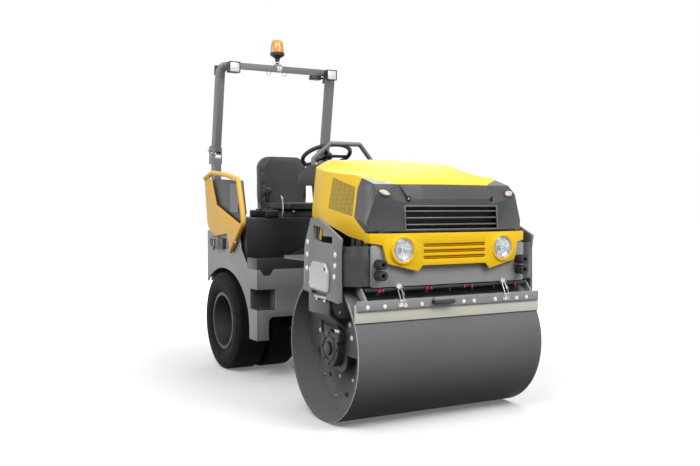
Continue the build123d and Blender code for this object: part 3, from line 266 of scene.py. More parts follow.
def makeGrainGroup():
    tree, entry, leave = startGroup("mouldedGrain", surfaceSockets)
    coords = tree.nodes.new("ShaderNodeTexCoord").outputs["Object"]
    color = cloudedColor(tree, entry, coords, 5)
    smear = addNoise(tree, coords, 3)
    smear.inputs["Scale"].default_value = 20
    rough = addRange(tree, smear.outputs["Fac"], entry.outputs["Low Rough"], entry.outputs["High Rough"])
    cells = tree.nodes.new("ShaderNodeTexVoronoi")
    tree.links.new(coords, cells.inputs["Vector"])
    tree.links.new(entry.outputs["Fine Scale"], cells.inputs["Scale"])
    tree.links.new(color, leave.inputs["Color"])
    tree.links.new(rough, leave.inputs["Roughness"])
    tree.links.new(cells.outputs["Distance"], leave.inputs["Height"])
    return tree


def makeRolledGroup():
    tree, entry, leave = startGroup("rolledSteel", surfaceSockets)
    coords = tree.nodes.new("ShaderNodeTexCoord").outputs["Object"]
    color = cloudedColor(tree, entry, coords, 3)
    along = tree.nodes.new("ShaderNodeMapping")
    along.inputs["Scale"].default_value = (0.6, 1, 0.6)
    tree.links.new(coords, along.inputs["Vector"])
    lines = addNoise(tree, along.outputs["Vector"], 6, 0.7)
    tree.links.new(entry.outputs["Fine Scale"], lines.inputs["Scale"])
    rough = addRange(tree, lines.outputs["Fac"], entry.outputs["Low Rough"], entry.outputs["High Rough"])
    streak = addRange(tree, lines.outputs["Fac"], 0.92, 1.06)
    tree.links.new(addTint(tree, color, streak), leave.inputs["Color"])
    tree.links.new(rough, leave.inputs["Roughness"])
    tree.links.new(lines.outputs["Fac"], leave.inputs["Height"])
    return tree


surfaceGroups = {"paint": makePaintGroup(), "grain": makeGrainGroup(), "rolled": makeRolledGroup()}

# finishes: colour, roughness span, bump and the shader's own constants
finishSet = {
    "hoodYellow": {"group": "paint", "color": (0.98, 0.61, 0.01), "rough": (0.36, 0.46), "bump": 0.03, "shine": 0.3},
    "grilleYellow": {"group": "paint", "color": (0.68, 0.46, 0.03), "rough": (0.4, 0.5), "bump": 0.05},
    # grilleOpeningShade: dark olive painted shade on the side grilles' plate, standing in for the shade in the openings
    # between the bars
    "grilleOpeningShade": {"group": "paint", "color": (0.24, 0.18, 0.022), "rough": (0.5, 0.6), "bump": 0.05},
    "guardYellow": {"group": "paint", "color": (0.97, 0.55, 0.08), "rough": (0.38, 0.48), "bump": 0.04, "shine": 0.3},
    "frameGrey": {"group": "paint", "color": (0.188, 0.189, 0.192), "rough": (0.36, 0.46), "bump": 0.05},
    "lightGrey": {"group": "paint", "color": (0.3, 0.301, 0.303), "rough": (0.4, 0.5), "bump": 0.05},
    "darkGrey": {"group": "paint", "color": (0.045, 0.0455, 0.047), "rough": (0.38, 0.48), "bump": 0.05},
    "noseGrey": {"group": "paint", "color": (0.03, 0.0303, 0.0312), "rough": (0.38, 0.48), "bump": 0.05},
    "maskGrey": {
        "group": "grain", "color": (0.026, 0.026, 0.028), "rough": (0.34, 0.42), "bump": 0.05, "fine": 900,
        "coat": 0.3,
    },
    "coverSilver": {
        "group": "paint", "color": (0.46, 0.468, 0.485), "rough": (0.28, 0.36), "bump": 0.05, "metal": 0.35,
    },
    "drumSteel": {
        "group": "rolled", "color": (0.175, 0.175, 0.179), "rough": (0.52, 0.64), "bump": 0.1, "fine": 90,
        "shine": 0.06,
    },
    "blackSteel": {"group": "paint", "color": (0.016, 0.016, 0.017), "rough": (0.38, 0.5), "bump": 0.05},
    "pinSteel": {"group": "rolled", "color": (0.5, 0.5, 0.51), "rough": (0.18, 0.3), "bump": 0.05, "metal": 1.0},
    "castBlock": {"group": "grain", "color": (0.03, 0.03, 0.032), "rough": (0.5, 0.62), "bump": 0.3, "fine": 300},
    "bufferRubber": {
        "group": "grain", "color": (0.012, 0.012, 0.012), "rough": (0.6, 0.75), "bump": 0.15, "fine": 700,
    },
    "tyreRubber": {
        "group": "grain", "color": (0.01, 0.01, 0.0103), "rough": (0.62, 0.76), "bump": 0.15, "fine": 500,
        "shine": 0.1,
    },
    "rimPaint": {"group": "paint", "color": (0.03, 0.03, 0.031), "rough": (0.4, 0.5), "bump": 0.05},
    "bladeCream": {"group": "grain", "color": (0.74, 0.72, 0.62), "rough": (0.42, 0.52), "bump": 0.05, "fine": 400},
    "blackPlastic": {
        "group": "grain", "color": (0.014, 0.014, 0.015), "rough": (0.42, 0.55), "bump": 0.1, "fine": 700,
    },
    "seatVinyl": {"group": "grain", "color": (0.02, 0.02, 0.021), "rough": (0.4, 0.5), "bump": 0.25, "fine": 420},
    "zincSteel": {"group": "rolled", "color": (0.46, 0.46, 0.47), "rough": (0.24, 0.36), "bump": 0.04, "metal": 1.0},
    "boltWhite": {"group": "paint", "color": (0.82, 0.82, 0.81), "rough": (0.25, 0.35), "bump": 0.02, "metal": 0.3},
    "lensClear": {"group": "paint", "color": (0.8, 0.82, 0.84), "rough": (0.08, 0.12), "bump": 0.0, "coat": 0.8},
    "beaconAmber": {"group": "paint", "color": (0.88, 0.34, 0.04), "rough": (0.12, 0.18), "bump": 0.01, "coat": 0.8},
    "lampRed": {"group": "paint", "color": (0.5, 0.012, 0.01), "rough": (0.14, 0.2), "bump": 0.01, "coat": 0.6},
    "nozzleRed": {"group": "paint", "color": (0.62, 0.02, 0.06), "rough": (0.3, 0.4), "bump": 0.02},
    "reflectorSilver": {
        "group": "rolled", "color": (0.42, 0.43, 0.44), "rough": (0.2, 0.32), "bump": 0.02, "metal": 1.0,
    },
    "markerLens": {"group": "paint", "color": (0.56, 0.5, 0.42), "rough": (0.1, 0.16), "bump": 0.02, "coat": 0.8},
    "glassClear": {"group": "paint", "color": (0.97, 0.98, 0.98), "rough": (0.02, 0.06), "bump": 0.01, "clear": 1.0},
    # greyTrimAndHighlight: own grey of the dash bezels, lever switches and access plates, and a painted highlight on
    # the slat lips and the intake frame rails
    "greyTrimAndHighlight": {"group": "grain", "color": (0.13, 0.13, 0.135), "rough": (0.3, 0.38), "bump": 0.04, "fine": 900},
    "wornSteel": {"group": "rolled", "color": (0.42, 0.42, 0.43), "rough": (0.25, 0.4), "bump": 0.05, "metal": 0.8},
    "dialWhite": {"group": "paint", "color": (0.72, 0.72, 0.7), "rough": (0.35, 0.45), "bump": 0.01},
    # intakeShadowBlack: near-black painted shade on the sheet behind the intake net, standing in for the shade inside
    # the intake
    "intakeShadowBlack": {"group": "grain", "color": (0.006, 0.006, 0.006), "rough": (0.5, 0.6), "bump": 0.05, "fine": 700},
    "matRubber": {"group": "grain", "color": (0.018, 0.018, 0.019), "rough": (0.62, 0.75), "bump": 0.2, "fine": 350},
}


def makeFinish(name, spec):
    material = bpy.data.materials.new(name)
    material.use_nodes = True
    tree = material.node_tree
    shader = tree.nodes["Principled BSDF"]
    surface = tree.nodes.new("ShaderNodeGroup")
    surface.node_tree = surfaceGroups[spec["group"]]
    surface.inputs["Color"].default_value = (*spec["color"], 1)
    surface.inputs["Low Rough"].default_value = spec["rough"][0]
    surface.inputs["High Rough"].default_value = spec["rough"][1]
    surface.inputs["Fine Scale"].default_value = spec.get("fine", 260)
    shader.inputs["Metallic"].default_value = spec.get("metal", 0)
    shader.inputs["Coat Weight"].default_value = spec.get("coat", 0)
    shader.inputs["Coat Roughness"].default_value = 0.06
    shader.inputs["Transmission Weight"].default_value = spec.get("clear", 0)
    shader.inputs["IOR"].default_value = 1.46
    shader.inputs["Specular IOR Level"].default_value = spec.get("shine", 0.5)
    bump = tree.nodes.new("ShaderNodeBump")
    bump.inputs["Strength"].default_value = spec["bump"]
    bump.inputs["Distance"].default_value = 0.001
    tree.links.new(surface.outputs["Color"], shader.inputs["Base Color"])
    tree.links.new(surface.outputs["Roughness"], shader.inputs["Roughness"])
    tree.links.new(surface.outputs["Height"], bump.inputs["Height"])
    tree.links.new(bump.outputs["Normal"], shader.inputs["Normal"])
    return material


finishes = {name: makeFinish(name, spec) for name, spec in finishSet.items()}
slotFinish = {
    "hood_yellow": "hoodYellow",
    "grille_yellow": "grilleYellow",
    "guard_yellow": "guardYellow",
    "frame_grey": "frameGrey",
    "light_grey": "lightGrey",
    "dark_grey": "darkGrey",
    "mask_grey": "maskGrey",
    "cover_silver": "coverSilver",
    "drum_steel": "drumSteel",
    "black_steel": "blackSteel",
    "pin_steel": "pinSteel",
    "cast_engine": "castBlock",
    "buffer_rubber": "bufferRubber",
    "tyre_rubber": "tyreRubber",
    "rim_black": "rimPaint",
    "blade_cream": "bladeCream",
    "spray_black": "blackPlastic",
    "console_black": "blackPlastic",
    "seat_vinyl": "seatVinyl",
    "lamp_lens": "lensClear",
    "beacon_amber": "beaconAmber",
    "lamp_red": "lampRed",
}
nodeFinish = {row["node"]: slotFinish[row["material_slot"]] for row in frame["record"]["subparts"]}
# the side grilles' plate takes the dark olive painted shade of the openings behind the bars
nodeFinish.update({
    "front_frame": "noseGrey", "scraper_clamp": "lightGrey", "front_panel": "lightGrey", "side_grilles": "grilleOpeningShade",
})
for nodeName, node in nodes.items():
    node.data.materials.clear()
    node.data.materials.append(finishes[nodeFinish[nodeName]])
nodeBody = {name: body for body, names in frame["record"]["behaviour"]["bodies"].items() for name in names}
print("finishes made,", len(finishes))


# shapes that the pieces are put together from, each about its own origin
def slim(bm, width, segments=2, angle=28):
    sharp = [edge for edge in bm.edges if len(edge.link_faces) == 2 and edge.calc_face_angle() > math.radians(angle)]
    bmesh.ops.bevel(
        bm, geom=sharp, offset=width, offset_type="OFFSET", affect="EDGES", segments=segments, profile=0.5, material=-1,
        clamp_overlap=True,
    )


def boxShape(size, soft=0.002, segments=2):
    shape = bmesh.new()
    bmesh.ops.create_cube(shape, size=1)
    bmesh.ops.scale(shape, vec=size, verts=shape.verts)
    slim(shape, soft, segments)
    return shape


def rodShape(radius, length, sides=24, soft=0.0):
    shape = bmesh.new()
    bmesh.ops.create_cone(shape, cap_ends=True, segments=sides, radius1=radius, radius2=radius, depth=length)
    bmesh.ops.translate(shape, vec=(0, 0, length / 2), verts=shape.verts)
    if soft:
        slim(shape, soft, 2, 40)
    return shape


def turnShape(profile, sides=48, ring=False):
    shape = bmesh.new()
    outline = list(profile)
    if ring:  # back to the first point, round the hole
        outline.append(profile[0])
    else:  # down to the axis at both ends
        outline = [(0, profile[0][1])] * (profile[0][0] > 0) + outline + [(0, profile[-1][1])] * (profile[-1][0] > 0)
    points = [shape.verts.new((radius, 0, height)) for radius, height in outline]
    edges = [shape.edges.new(pair) for pair in zip(points, points[1:])]
    bmesh.ops.spin(
        shape, geom=points + edges, cent=(0, 0, 0), axis=(0, 0, 1), angle=math.tau, steps=sides, use_merge=True
    )
    bmesh.ops.remove_doubles(shape, verts=shape.verts, dist=1e-6)
    bmesh.ops.recalc_face_normals(shape, faces=shape.faces)
    return shape


def ringShape(middle, tube, sides=48, around=12):
    shape = bmesh.new()
    made = bmesh.ops.create_circle(shape, segments=around, radius=tube)
    bmesh.ops.rotate(shape, cent=(0, 0, 0), matrix=Matrix.Rotation(math.pi / 2, 3, "X"), verts=made["verts"])
    bmesh.ops.translate(shape, vec=(middle, 0, 0), verts=made["verts"])
    bmesh.ops.spin(
        shape, geom=shape.verts[:] + shape.edges[:], cent=(0, 0, 0), axis=(0, 0, 1), angle=math.tau, steps=sides,
        use_merge=True,
    )
    bmesh.ops.remove_doubles(shape, verts=shape.verts, dist=1e-6)
    bmesh.ops.recalc_face_normals(shape, faces=shape.faces)
    return shape


def plateShape(outline, thick, soft=0.001, segments=1):
    shape = bmesh.new()
    face = shape.faces.new([shape.verts.new((x, y, 0)) for x, y in outline])
    made = bmesh.ops.extrude_face_region(shape, geom=[face])
    lifted = [part for part in made["geom"] if isinstance(part, bmesh.types.BMVert)]
    bmesh.ops.translate(shape, vec=(0, 0, thick), verts=lifted)
    bmesh.ops.recalc_face_normals(shape, faces=shape.faces)
    if soft:
        slim(shape, soft, segments)
    return shape


def tubeShape(points, radius, sides=12):
    curve = bpy.data.curves.new("route", "CURVE")
    curve.dimensions = "3D"
    curve.bevel_depth = radius
    curve.bevel_resolution = max(1, sides // 4 - 1)
    curve.resolution_u = 8
    curve.use_fill_caps = True
    spline = curve.splines.new("NURBS")
    spline.points.add(len(points) - 1)
    for point, place in zip(spline.points, points):
        point.co = (*place, 1)
    spline.order_u = 3
    spline.use_endpoint_u = True
    holder = bpy.data.objects.new("route", curve)
    mesh = bpy.data.meshes.new_from_object(holder)
    shape = bmesh.new()
    shape.from_mesh(mesh)
    bpy.data.objects.remove(holder)
    bpy.data.curves.remove(curve)
    bpy.data.meshes.remove(mesh)
    bmesh.ops.remove_doubles(shape, verts=shape.verts, dist=1e-6)
    return shape


def boltShape(radius, height=None, washer=True):
    height = radius * 0.62 if height is None else height
    shape = rodShape(radius * 0.98, height, 6, radius * 0.1)
    if washer:
        joinShape(shape, rodShape(radius * 1.28, radius * 0.18, 20, radius * 0.05))
    return shape


def socketShape(radius):
    profile = [(0, 0.2), (0.5, 0.2), (0.55, 0.75), (0.9, 0.75), (1, 0.6), (1, 0)]
    return turnShape([(radius * far, radius * up) for far, up in profile], 20)


def joinShape(bm, shape, place=None):
    if place is not None:
        shape.transform(place)
    carrier = bpy.data.meshes.new("carrier")
    shape.to_mesh(carrier)
    shape.free()
    bm.from_mesh(carrier)
    bpy.data.meshes.remove(carrier)


def spot(place, direction=(0, 0, 1), roll=0):
    turn = Vector(direction).to_track_quat("Z", "Y").to_matrix().to_4x4()
    return Matrix.Translation(place) @ turn @ Matrix.Rotation(math.radians(roll), 4, "Z")


finishSlot = {finish: slot for slot, finish in slotFinish.items()}
finishSlot.update({
    "zincSteel": "pin_steel", "boltWhite": "pin_steel", "wornSteel": "pin_steel", "nozzleRed": "lamp_red",
    "grilleOpeningShade": "grille_yellow", "reflectorSilver": "cover_silver", "greyTrimAndHighlight": "mask_grey",
    "intakeShadowBlack": "mask_grey",
    "markerLens": "lamp_lens", "glassClear": "lamp_lens", "dialWhite": "lamp_lens",
    "matRubber": "buffer_rubber", "noseGrey": "frame_grey",
})


def addPiece(bm, name, body, finish, replaced=(), smooth=32):
    mesh = bpy.data.meshes.new(name)
    bm.to_mesh(mesh)
    bm.free()
    mesh.materials.append(finishes[finish])
    mesh.shade_smooth()
    mesh.set_sharp_from_angle(angle=math.radians(smooth))
    piece = bpy.data.objects.new(name, mesh)
    scene.collection.objects.link(piece)
    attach(piece, body)
    if replaced:
        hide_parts(*replaced)
    return piece


# soft-edged copies that stand for the plain CAD nodes, edge widths in millimetres
edgeSet = {
    "hood_shell": (5, 3), "mask": (4, 3), "fascia": (3, 3), "side_grilles": (1, 1), "front_frame": (2.5, 2),
    "front_panel": (2, 2), "front_side_plates": (2, 2), "side_covers": (4, 3), "neck": (3, 2), "bulkhead": (1.5, 2),
    "engine": (8, 3), "scraper_blade": (1.2, 2), "scraper_clamp": (1.2, 2), "spray_bar": (0.8, 1),
    "rear_scraper": (1, 1), "drum_carriers": (2, 2), "drum_motors": (3, 2), "drum": (1.5, 2),
    "rear_side_plates": (2, 2), "rear_front_wall": (2, 2), "rear_deck": (1.5, 2), "step_pockets": (1.2, 2),
    "axle_carrier": (3, 2), "pivot_nose": (2, 2), "steer_barrel": (1.5, 2), "foot_pan": (2, 2), "seat_box": (10, 3),
    "steering_console": (8, 3), "side_guards": (1, 2), "side_panels": (4, 3),
    "rops_posts": (3, 2), "rops_hoop": (4, 3), "rear_lamps": (4, 3), "tow_hitch": (3, 2), "steer_knuckle": (2, 2),
    "steer_rod": (1, 1), "buffers": (4, 3), "rims_left": (1.2, 2), "rims_right": (1.2, 2), "steering_wheel": (1, 1),
    "grab_bar": (1, 1), "tyres_left": (2, 2), "tyres_right": (2, 2),
}


def softenNode(name, width, segments):
    bm = bmesh.new()
    bm.from_mesh(nodes[name].data)
    bmesh.ops.remove_doubles(bm, verts=bm.verts, dist=2e-5)
    bmesh.ops.dissolve_limit(bm, angle_limit=math.radians(0.6), verts=bm.verts[:], edges=bm.edges[:])
    slim(bm, width / 1000, segments)
    addPiece(bm, name + "Soft", nodeBody[name], nodeFinish[name], (name,), 30)


for nodeName, (edgeWidth, edgeSteps) in edgeSet.items():
    softenNode(nodeName, edgeWidth, edgeSteps)
print("soft-edged copies made,", len(edgeSet))


# places in millimetres, and places on a node's own surface
def mm(*values):
    return tuple(value / 1000 for value in values)


def at(*values):
    return Matrix.Translation(mm(*values))


def mmProfile(*pairs):
    return [mm(*pair) for pair in pairs]


def surfaceOf(name):
    bm = bmesh.new()
    bm.from_mesh(nodes[name].data)
    surface = BVHTree.FromBMesh(bm)
    bm.free()
    return surface


def seatOn(surface, point, lift=0.0, roll=0):
    place, normal, index, far = surface.find_nearest(Vector(point))
    return spot(place + normal * lift, normal, roll)


def seatFrom(surface, start, direction, lift=0.0, roll=0):
    place, normal, index, far = surface.ray_cast(Vector(start), Vector(direction))
    return spot(place + normal * lift, normal, roll)


def lifted(height):
    return Matrix.Translation((0, 0, height))


def addBox(bm, size, place, soft=0.002, segments=2):
    joinShape(bm, boxShape(mm(*size), soft, segments), place)


def addTurned(bm, profile, place, sides=48, ring=False):
    joinShape(bm, turnShape(mmProfile(*profile), sides, ring), place)


# headlights: bowl, bulb and lens in the fascia's round bezels
headlightSet = {"place": (1200, 324, 939), "ring": 59}


def addHeadlights(spec):
    bowl, ring, lens, bulb = bmesh.new(), bmesh.new(), bmesh.new(), bmesh.new()
    x, y, z = spec["place"]
    for side in (-1, 1):
        seat = spot(mm(x, side * y, z), (1, 0, 0))
        addTurned(bowl, [(0, 2), (10, 2), (16, 4), (34, 7), (50, 12), (57, 18), (61, 19), (61, 0), (0, 0)], seat)
        for index in range(12):
            rib = boxShape(mm(2.4, 26, 3), 0.0006)
            turn = Matrix.Rotation(math.tau * index / 12, 4, "Z")
            joinShape(bowl, rib, seat @ turn @ at(0, 38, 9) @ Matrix.Rotation(0.22, 4, "X"))
        joinShape(ring, ringShape(spec["ring"] / 1000, 0.0028), seat @ lifted(0.0185))
        addTurned(bulb, [(0, 15), (4, 14.5), (7, 12), (8, 8), (8, 2), (0, 2)], seat, 24)
        joinShape(ring, ringShape(0.0135, 0.0016, 32, 8), seat @ lifted(0.006))
        addTurned(
            lens,
            [(0, 24), (20, 23.4), (40, 21.6), (53, 19), (56.5, 17), (53, 16.6), (40, 19), (20, 20.8), (0, 21.4)], seat
        )
    addPiece(bowl, "headlightBowls", "hood", "reflectorSilver", ("headlights",))
    addPiece(ring, "headlightRings", "hood", "zincSteel")
    addPiece(bulb, "headlightBulbs", "hood", "lensClear")
    addPiece(lens, "headlightLenses", "hood", "glassClear")


addHeadlights(headlightSet)

# marker lights in the nose's upper corners
markerSet = {"place": (1168, 408, 1234), "length": 66, "height": 40, "slope": 24}


def almondOutline(length, height, steps=8):
    upper = []
    for step in range(steps + 1):
        bulge = math.sin(math.pi * step / steps) ** 0.8
        upper.append((length * (step / steps - 0.5), 0.5 * height * bulge))
    lower = [(x, -0.8 * y) for x, y in reversed(upper[1:-1])]
    return upper + lower


def addMarkerLights(spec):
    bezel, lens, lamp = bmesh.new(), bmesh.new(), bmesh.new()
    surface = surfaceOf("mask")
    x, y, z = spec["place"]
    for side in (-1, 1):
        seat = seatOn(surface, mm(x, side * y, z), -0.001, side * spec["slope"])
        outline = almondOutline(*mm(spec["length"], spec["height"]))
        joinShape(bezel, plateShape([(1.36 * a, 1.5 * b) for a, b in outline], 0.004, 0.001), seat)
        joinShape(lens, plateShape(outline, 0.009, 0.0035, 3), seat)
        joinShape(lamp, rodShape(0.006, 0.0015, 16, 0.0004), seat @ at(side * 8, 0, 9))
    addPiece(bezel, "markerBezels", "hood", "blackPlastic")
    addPiece(lens, "markerLenses", "hood", "markerLens")
    addPiece(lamp, "markerSpots", "hood", "beaconAmber")


addMarkerLights(markerSet)

# side grilles: fine bars across and posts up, laid on the grille's own surface, over the grille's plate in a dark olive
# painted shade for the openings
grilleSet = {"x": (736, 1012), "z": (1112, 1326), "pitch": 6.9, "cross": 46, "bar": 1.7, "post": 1.3}


def surfaceRun(surface, starts, side):
    hits = [surface.ray_cast(Vector(start), Vector((0, -side, 0)))[0] for start in starts]
    hits = [hit for hit in hits if hit is not None]
    return [hits[index * (len(hits) - 1) // 4] for index in range(5)] if len(hits) > 5 else []


def addSideGrilles(spec):
    surface = surfaceOf("side_grilles")
    bars = bmesh.new()
    (rear, front), (low, high) = spec["x"], spec["z"]
    for side in (-1, 1):
        runs = []
        for row in range(int((high - low) / spec["pitch"])):
            z = low + spec["pitch"] * (row + 0.5)
            runs.append(([mm(x, side * 900, z) for x in range(rear, front, 4)], spec["bar"]))
        for x in range(rear + spec["cross"] // 2, front, spec["cross"]):
            runs.append(([mm(x, side * 900, z) for z in range(low, high, 4)], spec["post"]))
        for starts, radius in runs:
            route = surfaceRun(surface, starts, side)
            if route:
                joinShape(bars, tubeShape(route, radius / 1000, 4))
    addPiece(bars, "sideGrilleBars", "hood", "grilleYellow")


addSideGrilles(grilleSet)

# mask screws; intake net before a near-black backing, painted shade inside the intake; rubber seal, its black also a
# painted shadow line between mask and fascia; slats' front lips in lighter grey, a painted highlight
maskSet = {
    "screws": [(1191, 273, 1205), (1166, 423, 1091)], "screw": 8,
    "screen": {"x": 1158, "half": 304, "low": 1040, "high": 1170, "deep": 30, "pitch": 8},
    "seal": {
        "place": (1150, 450, 1030), "width": 900,
        "outline": [
            (-30, -13), (20, -13), (28, -8), (30, 0), (28, 8), (20, 13), (8, 13), (4, 8), (-18, 8), (-22, 13),
            (-30, 13)
        ],
    },
    "lips": {"x": 1194, "half": 293, "levels": (1069, 1104, 1139), "radius": 4.6},
}


def addMaskDetails(spec):
    surface = surfaceOf("mask")
    cups, heads, lips, wires = (bmesh.new() for part in range(4))
    size = spec["screw"] / 1000
    cup = [(0, 0.0006), (size * 1.1, 0.0006), (size * 1.3, 0.0022), (size * 1.7, 0.0022), (size * 1.85, 0)]
    for x, y, z in spec["screws"]:
        for side in (-1, 1):
            seat = seatOn(surface, mm(x, side * y, z))
            joinShape(cups, turnShape(cup, 28), seat)
            joinShape(heads, socketShape(size), seat @ lifted(0.0004))
    screen = spec["screen"]
    low, high, half = screen["low"], screen["high"], screen["half"]
    # near-black backing plate and cheeks behind the net: painted shade inside the intake
    shadeBacking = boxShape(mm(4, 2 * half, high - low), 0.0008)
    shadeBacking.transform(at(screen["x"], 0, (low + high) / 2))
    for side in (-1, 1):
        cheek = boxShape(mm(screen["deep"], 4, high - low), 0.0008)
        joinShape(shadeBacking, cheek, at(screen["x"] + screen["deep"] / 2, side * half, (low + high) / 2))
    for step in range(int(2 * half / screen["pitch"])):
        place = mm(screen["x"] + 3, -half + screen["pitch"] * (step + 0.5), (low + high) / 2)
        addBox(wires, (3, 2, high - low), Matrix.Translation(place), 0.0006, 1)
    for step in range(int((high - low) / screen["pitch"])):
        place = mm(screen["x"] + 5, 0, low + screen["pitch"] * (step + 0.5))
        addBox(wires, (3, 2 * half, 2), Matrix.Translation(place), 0.0006, 1)
    # the black rubber seal closes the gap between mask and fascia, and its black also paints the shadow line in that
    # joint
    seal = plateShape(mmProfile(*spec["seal"]["outline"]), spec["seal"]["width"] / 1000, 0.0015, 2)
    seal.transform(at(*spec["seal"]["place"]) @ Matrix.Rotation(math.pi / 2, 4, "X"))
    # the slats' front lips are drawn in the lighter grey as a painted highlight along their edges
    bars = spec["lips"]
    for level in bars["levels"]:
        bar = rodShape(bars["radius"] / 1000, 2 * bars["half"] / 1000, 16, 0.001)
        joinShape(lips, bar, spot(mm(bars["x"], -bars["half"], level), (0, 1, 0)))
    addPiece(cups, "maskScrewCups", "hood", "blackPlastic")
    addPiece(heads, "maskScrews", "hood", "zincSteel")
    addPiece(shadeBacking, "intakeShadowBacking", "hood", "intakeShadowBlack")
    addPiece(wires, "intakeNet", "hood", "blackPlastic")
    addPiece(seal, "noseSealAndShade", "hood", "bufferRubber")
    addPiece(lips, "slatHighlightLips", "hood", "greyTrimAndHighlight")


addMaskDetails(maskSet)

# louvre blades behind the fascia's slots
louvreSet = {"x": 1201, "half": 212, "levels": (904, 936, 968), "depth": 29.4, "lean": 38, "tall": 112}


def addLouvres(spec):
    blades = bmesh.new()
    for level in spec["levels"]:
        blade = boxShape(mm(spec["depth"], 2 * spec["half"], 3), 0.0008)
        lean = Matrix.Rotation(math.radians(spec["lean"]), 4, "Y")
        joinShape(blades, blade, at(spec["x"], 0, level) @ lean)
    back = boxShape(mm(3, 2 * spec["half"] + 10, spec["tall"]), 0.001)
    joinShape(blades, back, at(spec["x"] - 9, 0, spec["levels"][1]))
    addPiece(blades, "fasciaLouvres", "hood", "hoodYellow")


addLouvres(louvreSet)
print("hood details made")


# scraper clamp: bolts, grip and toggle latches
clampSet = {
    "face": 1213.6, "bolts": (-534, -432, -307, -205, 66, 135, 280, 432, 502), "level": 653, "bolt": 9,
    "grip": {
        "place": (1217, -73, 661), "size": (7, 132, 24),
        "bar": [
            (1216, -133, 661), (1232, -133, 661), (1237, -124, 661), (1237, -22, 661), (1232, -13, 661),
            (1216, -13, 661)
        ],
    },
    "latches": (-332, 352),
}


def latchShapes(y):
    claw = boxShape(mm(5, 46, 34), 0.0012)
    claw.transform(at(1216, y, 664))
    for side in (-1, 1):
        addBox(claw, (16, 3, 26), at(1220, y + 14 * side, 672), 0.0008)
        joinShape(claw, socketShape(0.005), spot(mm(1218, y + 17 * side, 655), (1, 0, 0)))
    joinShape(claw, rodShape(0.004, 0.036, 16, 0.0006), spot(mm(1224, y - 18, 680), (0, 1, 0)))
    half = [(1224, -11, 680), (1216, -11, 700), (1200, -11, 728), (1195, -9, 738)]
    loop = half + [(1194, 0, 741)] + [(px, -across, pz) for px, across, pz in reversed(half)]
    joinShape(claw, tubeShape([mm(px, y + across, pz) for px, across, pz in loop], 0.003, 12))
    lever = plateShape(mmProfile((-9, 0), (9, 0), (12, 40), (7, 62), (-7, 62), (-12, 40)), 0.003, 0.0008)
    joinShape(claw, lever, at(1226, y, 676) @ Matrix.Rotation(1.15, 4, "X") @ Matrix.Rotation(0.5, 4, "Z"))
    hook = boxShape(mm(12, 42, 5), 0.0012)
    joinShape(claw, hook, at(1190, y, 745))
    addBox(claw, (4, 30, 16), at(1190, y, 756), 0.001)
    return claw


def addClampDetails(spec):
    heads, grip, latches = bmesh.new(), bmesh.new(), bmesh.new()
    for y in spec["bolts"]:
        joinShape(heads, boltShape(spec["bolt"] / 1000), spot(mm(spec["face"], y, spec["level"]), (1, 0, 0)))
    addBox(grip, spec["grip"]["size"], at(*spec["grip"]["place"]), 0.003, 3)
    joinShape(grip, tubeShape([mm(*point) for point in spec["grip"]["bar"]], 0.0105, 20))
    for y in spec["latches"]:
        joinShape(latches, latchShapes(y))
    addPiece(heads, "clampBolts", "front_chassis", "boltWhite")
    addPiece(grip, "clampGrip", "front_chassis", "blackPlastic")
    addPiece(latches, "toggleLatches", "front_chassis", "zincSteel")


addClampDetails(clampSet)

# spray nozzles with red caps on the bar under the nose
nozzleSet = {"x": 1171, "z": 736, "places": (-449, -429, -156, -130, 89, 139, 439), "lean": (0.9, 0, -0.25)}


def addNozzles(spec):
    caps, collars = bmesh.new(), bmesh.new()
    for y in spec["places"]:
        seat = spot(mm(spec["x"], y, spec["z"]), spec["lean"])
        joinShape(collars, rodShape(0.009, 0.016, 6, 0.001), seat)
        addTurned(caps, [(6.5, 14), (7.5, 15), (7.5, 21), (6, 23), (2, 23), (2, 21), (0, 21)], seat, 20)
    addPiece(collars, "nozzleCollars", "front_chassis", "blackPlastic")
    addPiece(caps, "nozzleCaps", "front_chassis", "nozzleRed")


addNozzles(nozzleSet)

# side plates: bolts, cover knob and hinges, bracket under the cover, strip behind the slot
plateSet = {
    "face": 640, "bolts": [(748, 972), (742, 903), (736, 828), (1065, 916), (1061, 859), (1054, 802)], "bolt": 11,
    "knob": (972, 836), "hinges": [(781, 827), (781, 753)],
    "bracket": {"low": (820, 676), "high": (964, 690), "bolts": [(839, 668), (930, 661)]},
    "strip": {"place": (866, 1032), "size": (20, 4, 92), "lean": 12},
}


def domeShape(size):
    profile = [(0, 0.72), (0.45, 0.66), (0.8, 0.44), (1, 0.2), (1.3, 0.2), (1.34, 0.1), (1.34, 0)]
    return turnShape([(size * far, size * up) for far, up in profile], 28)


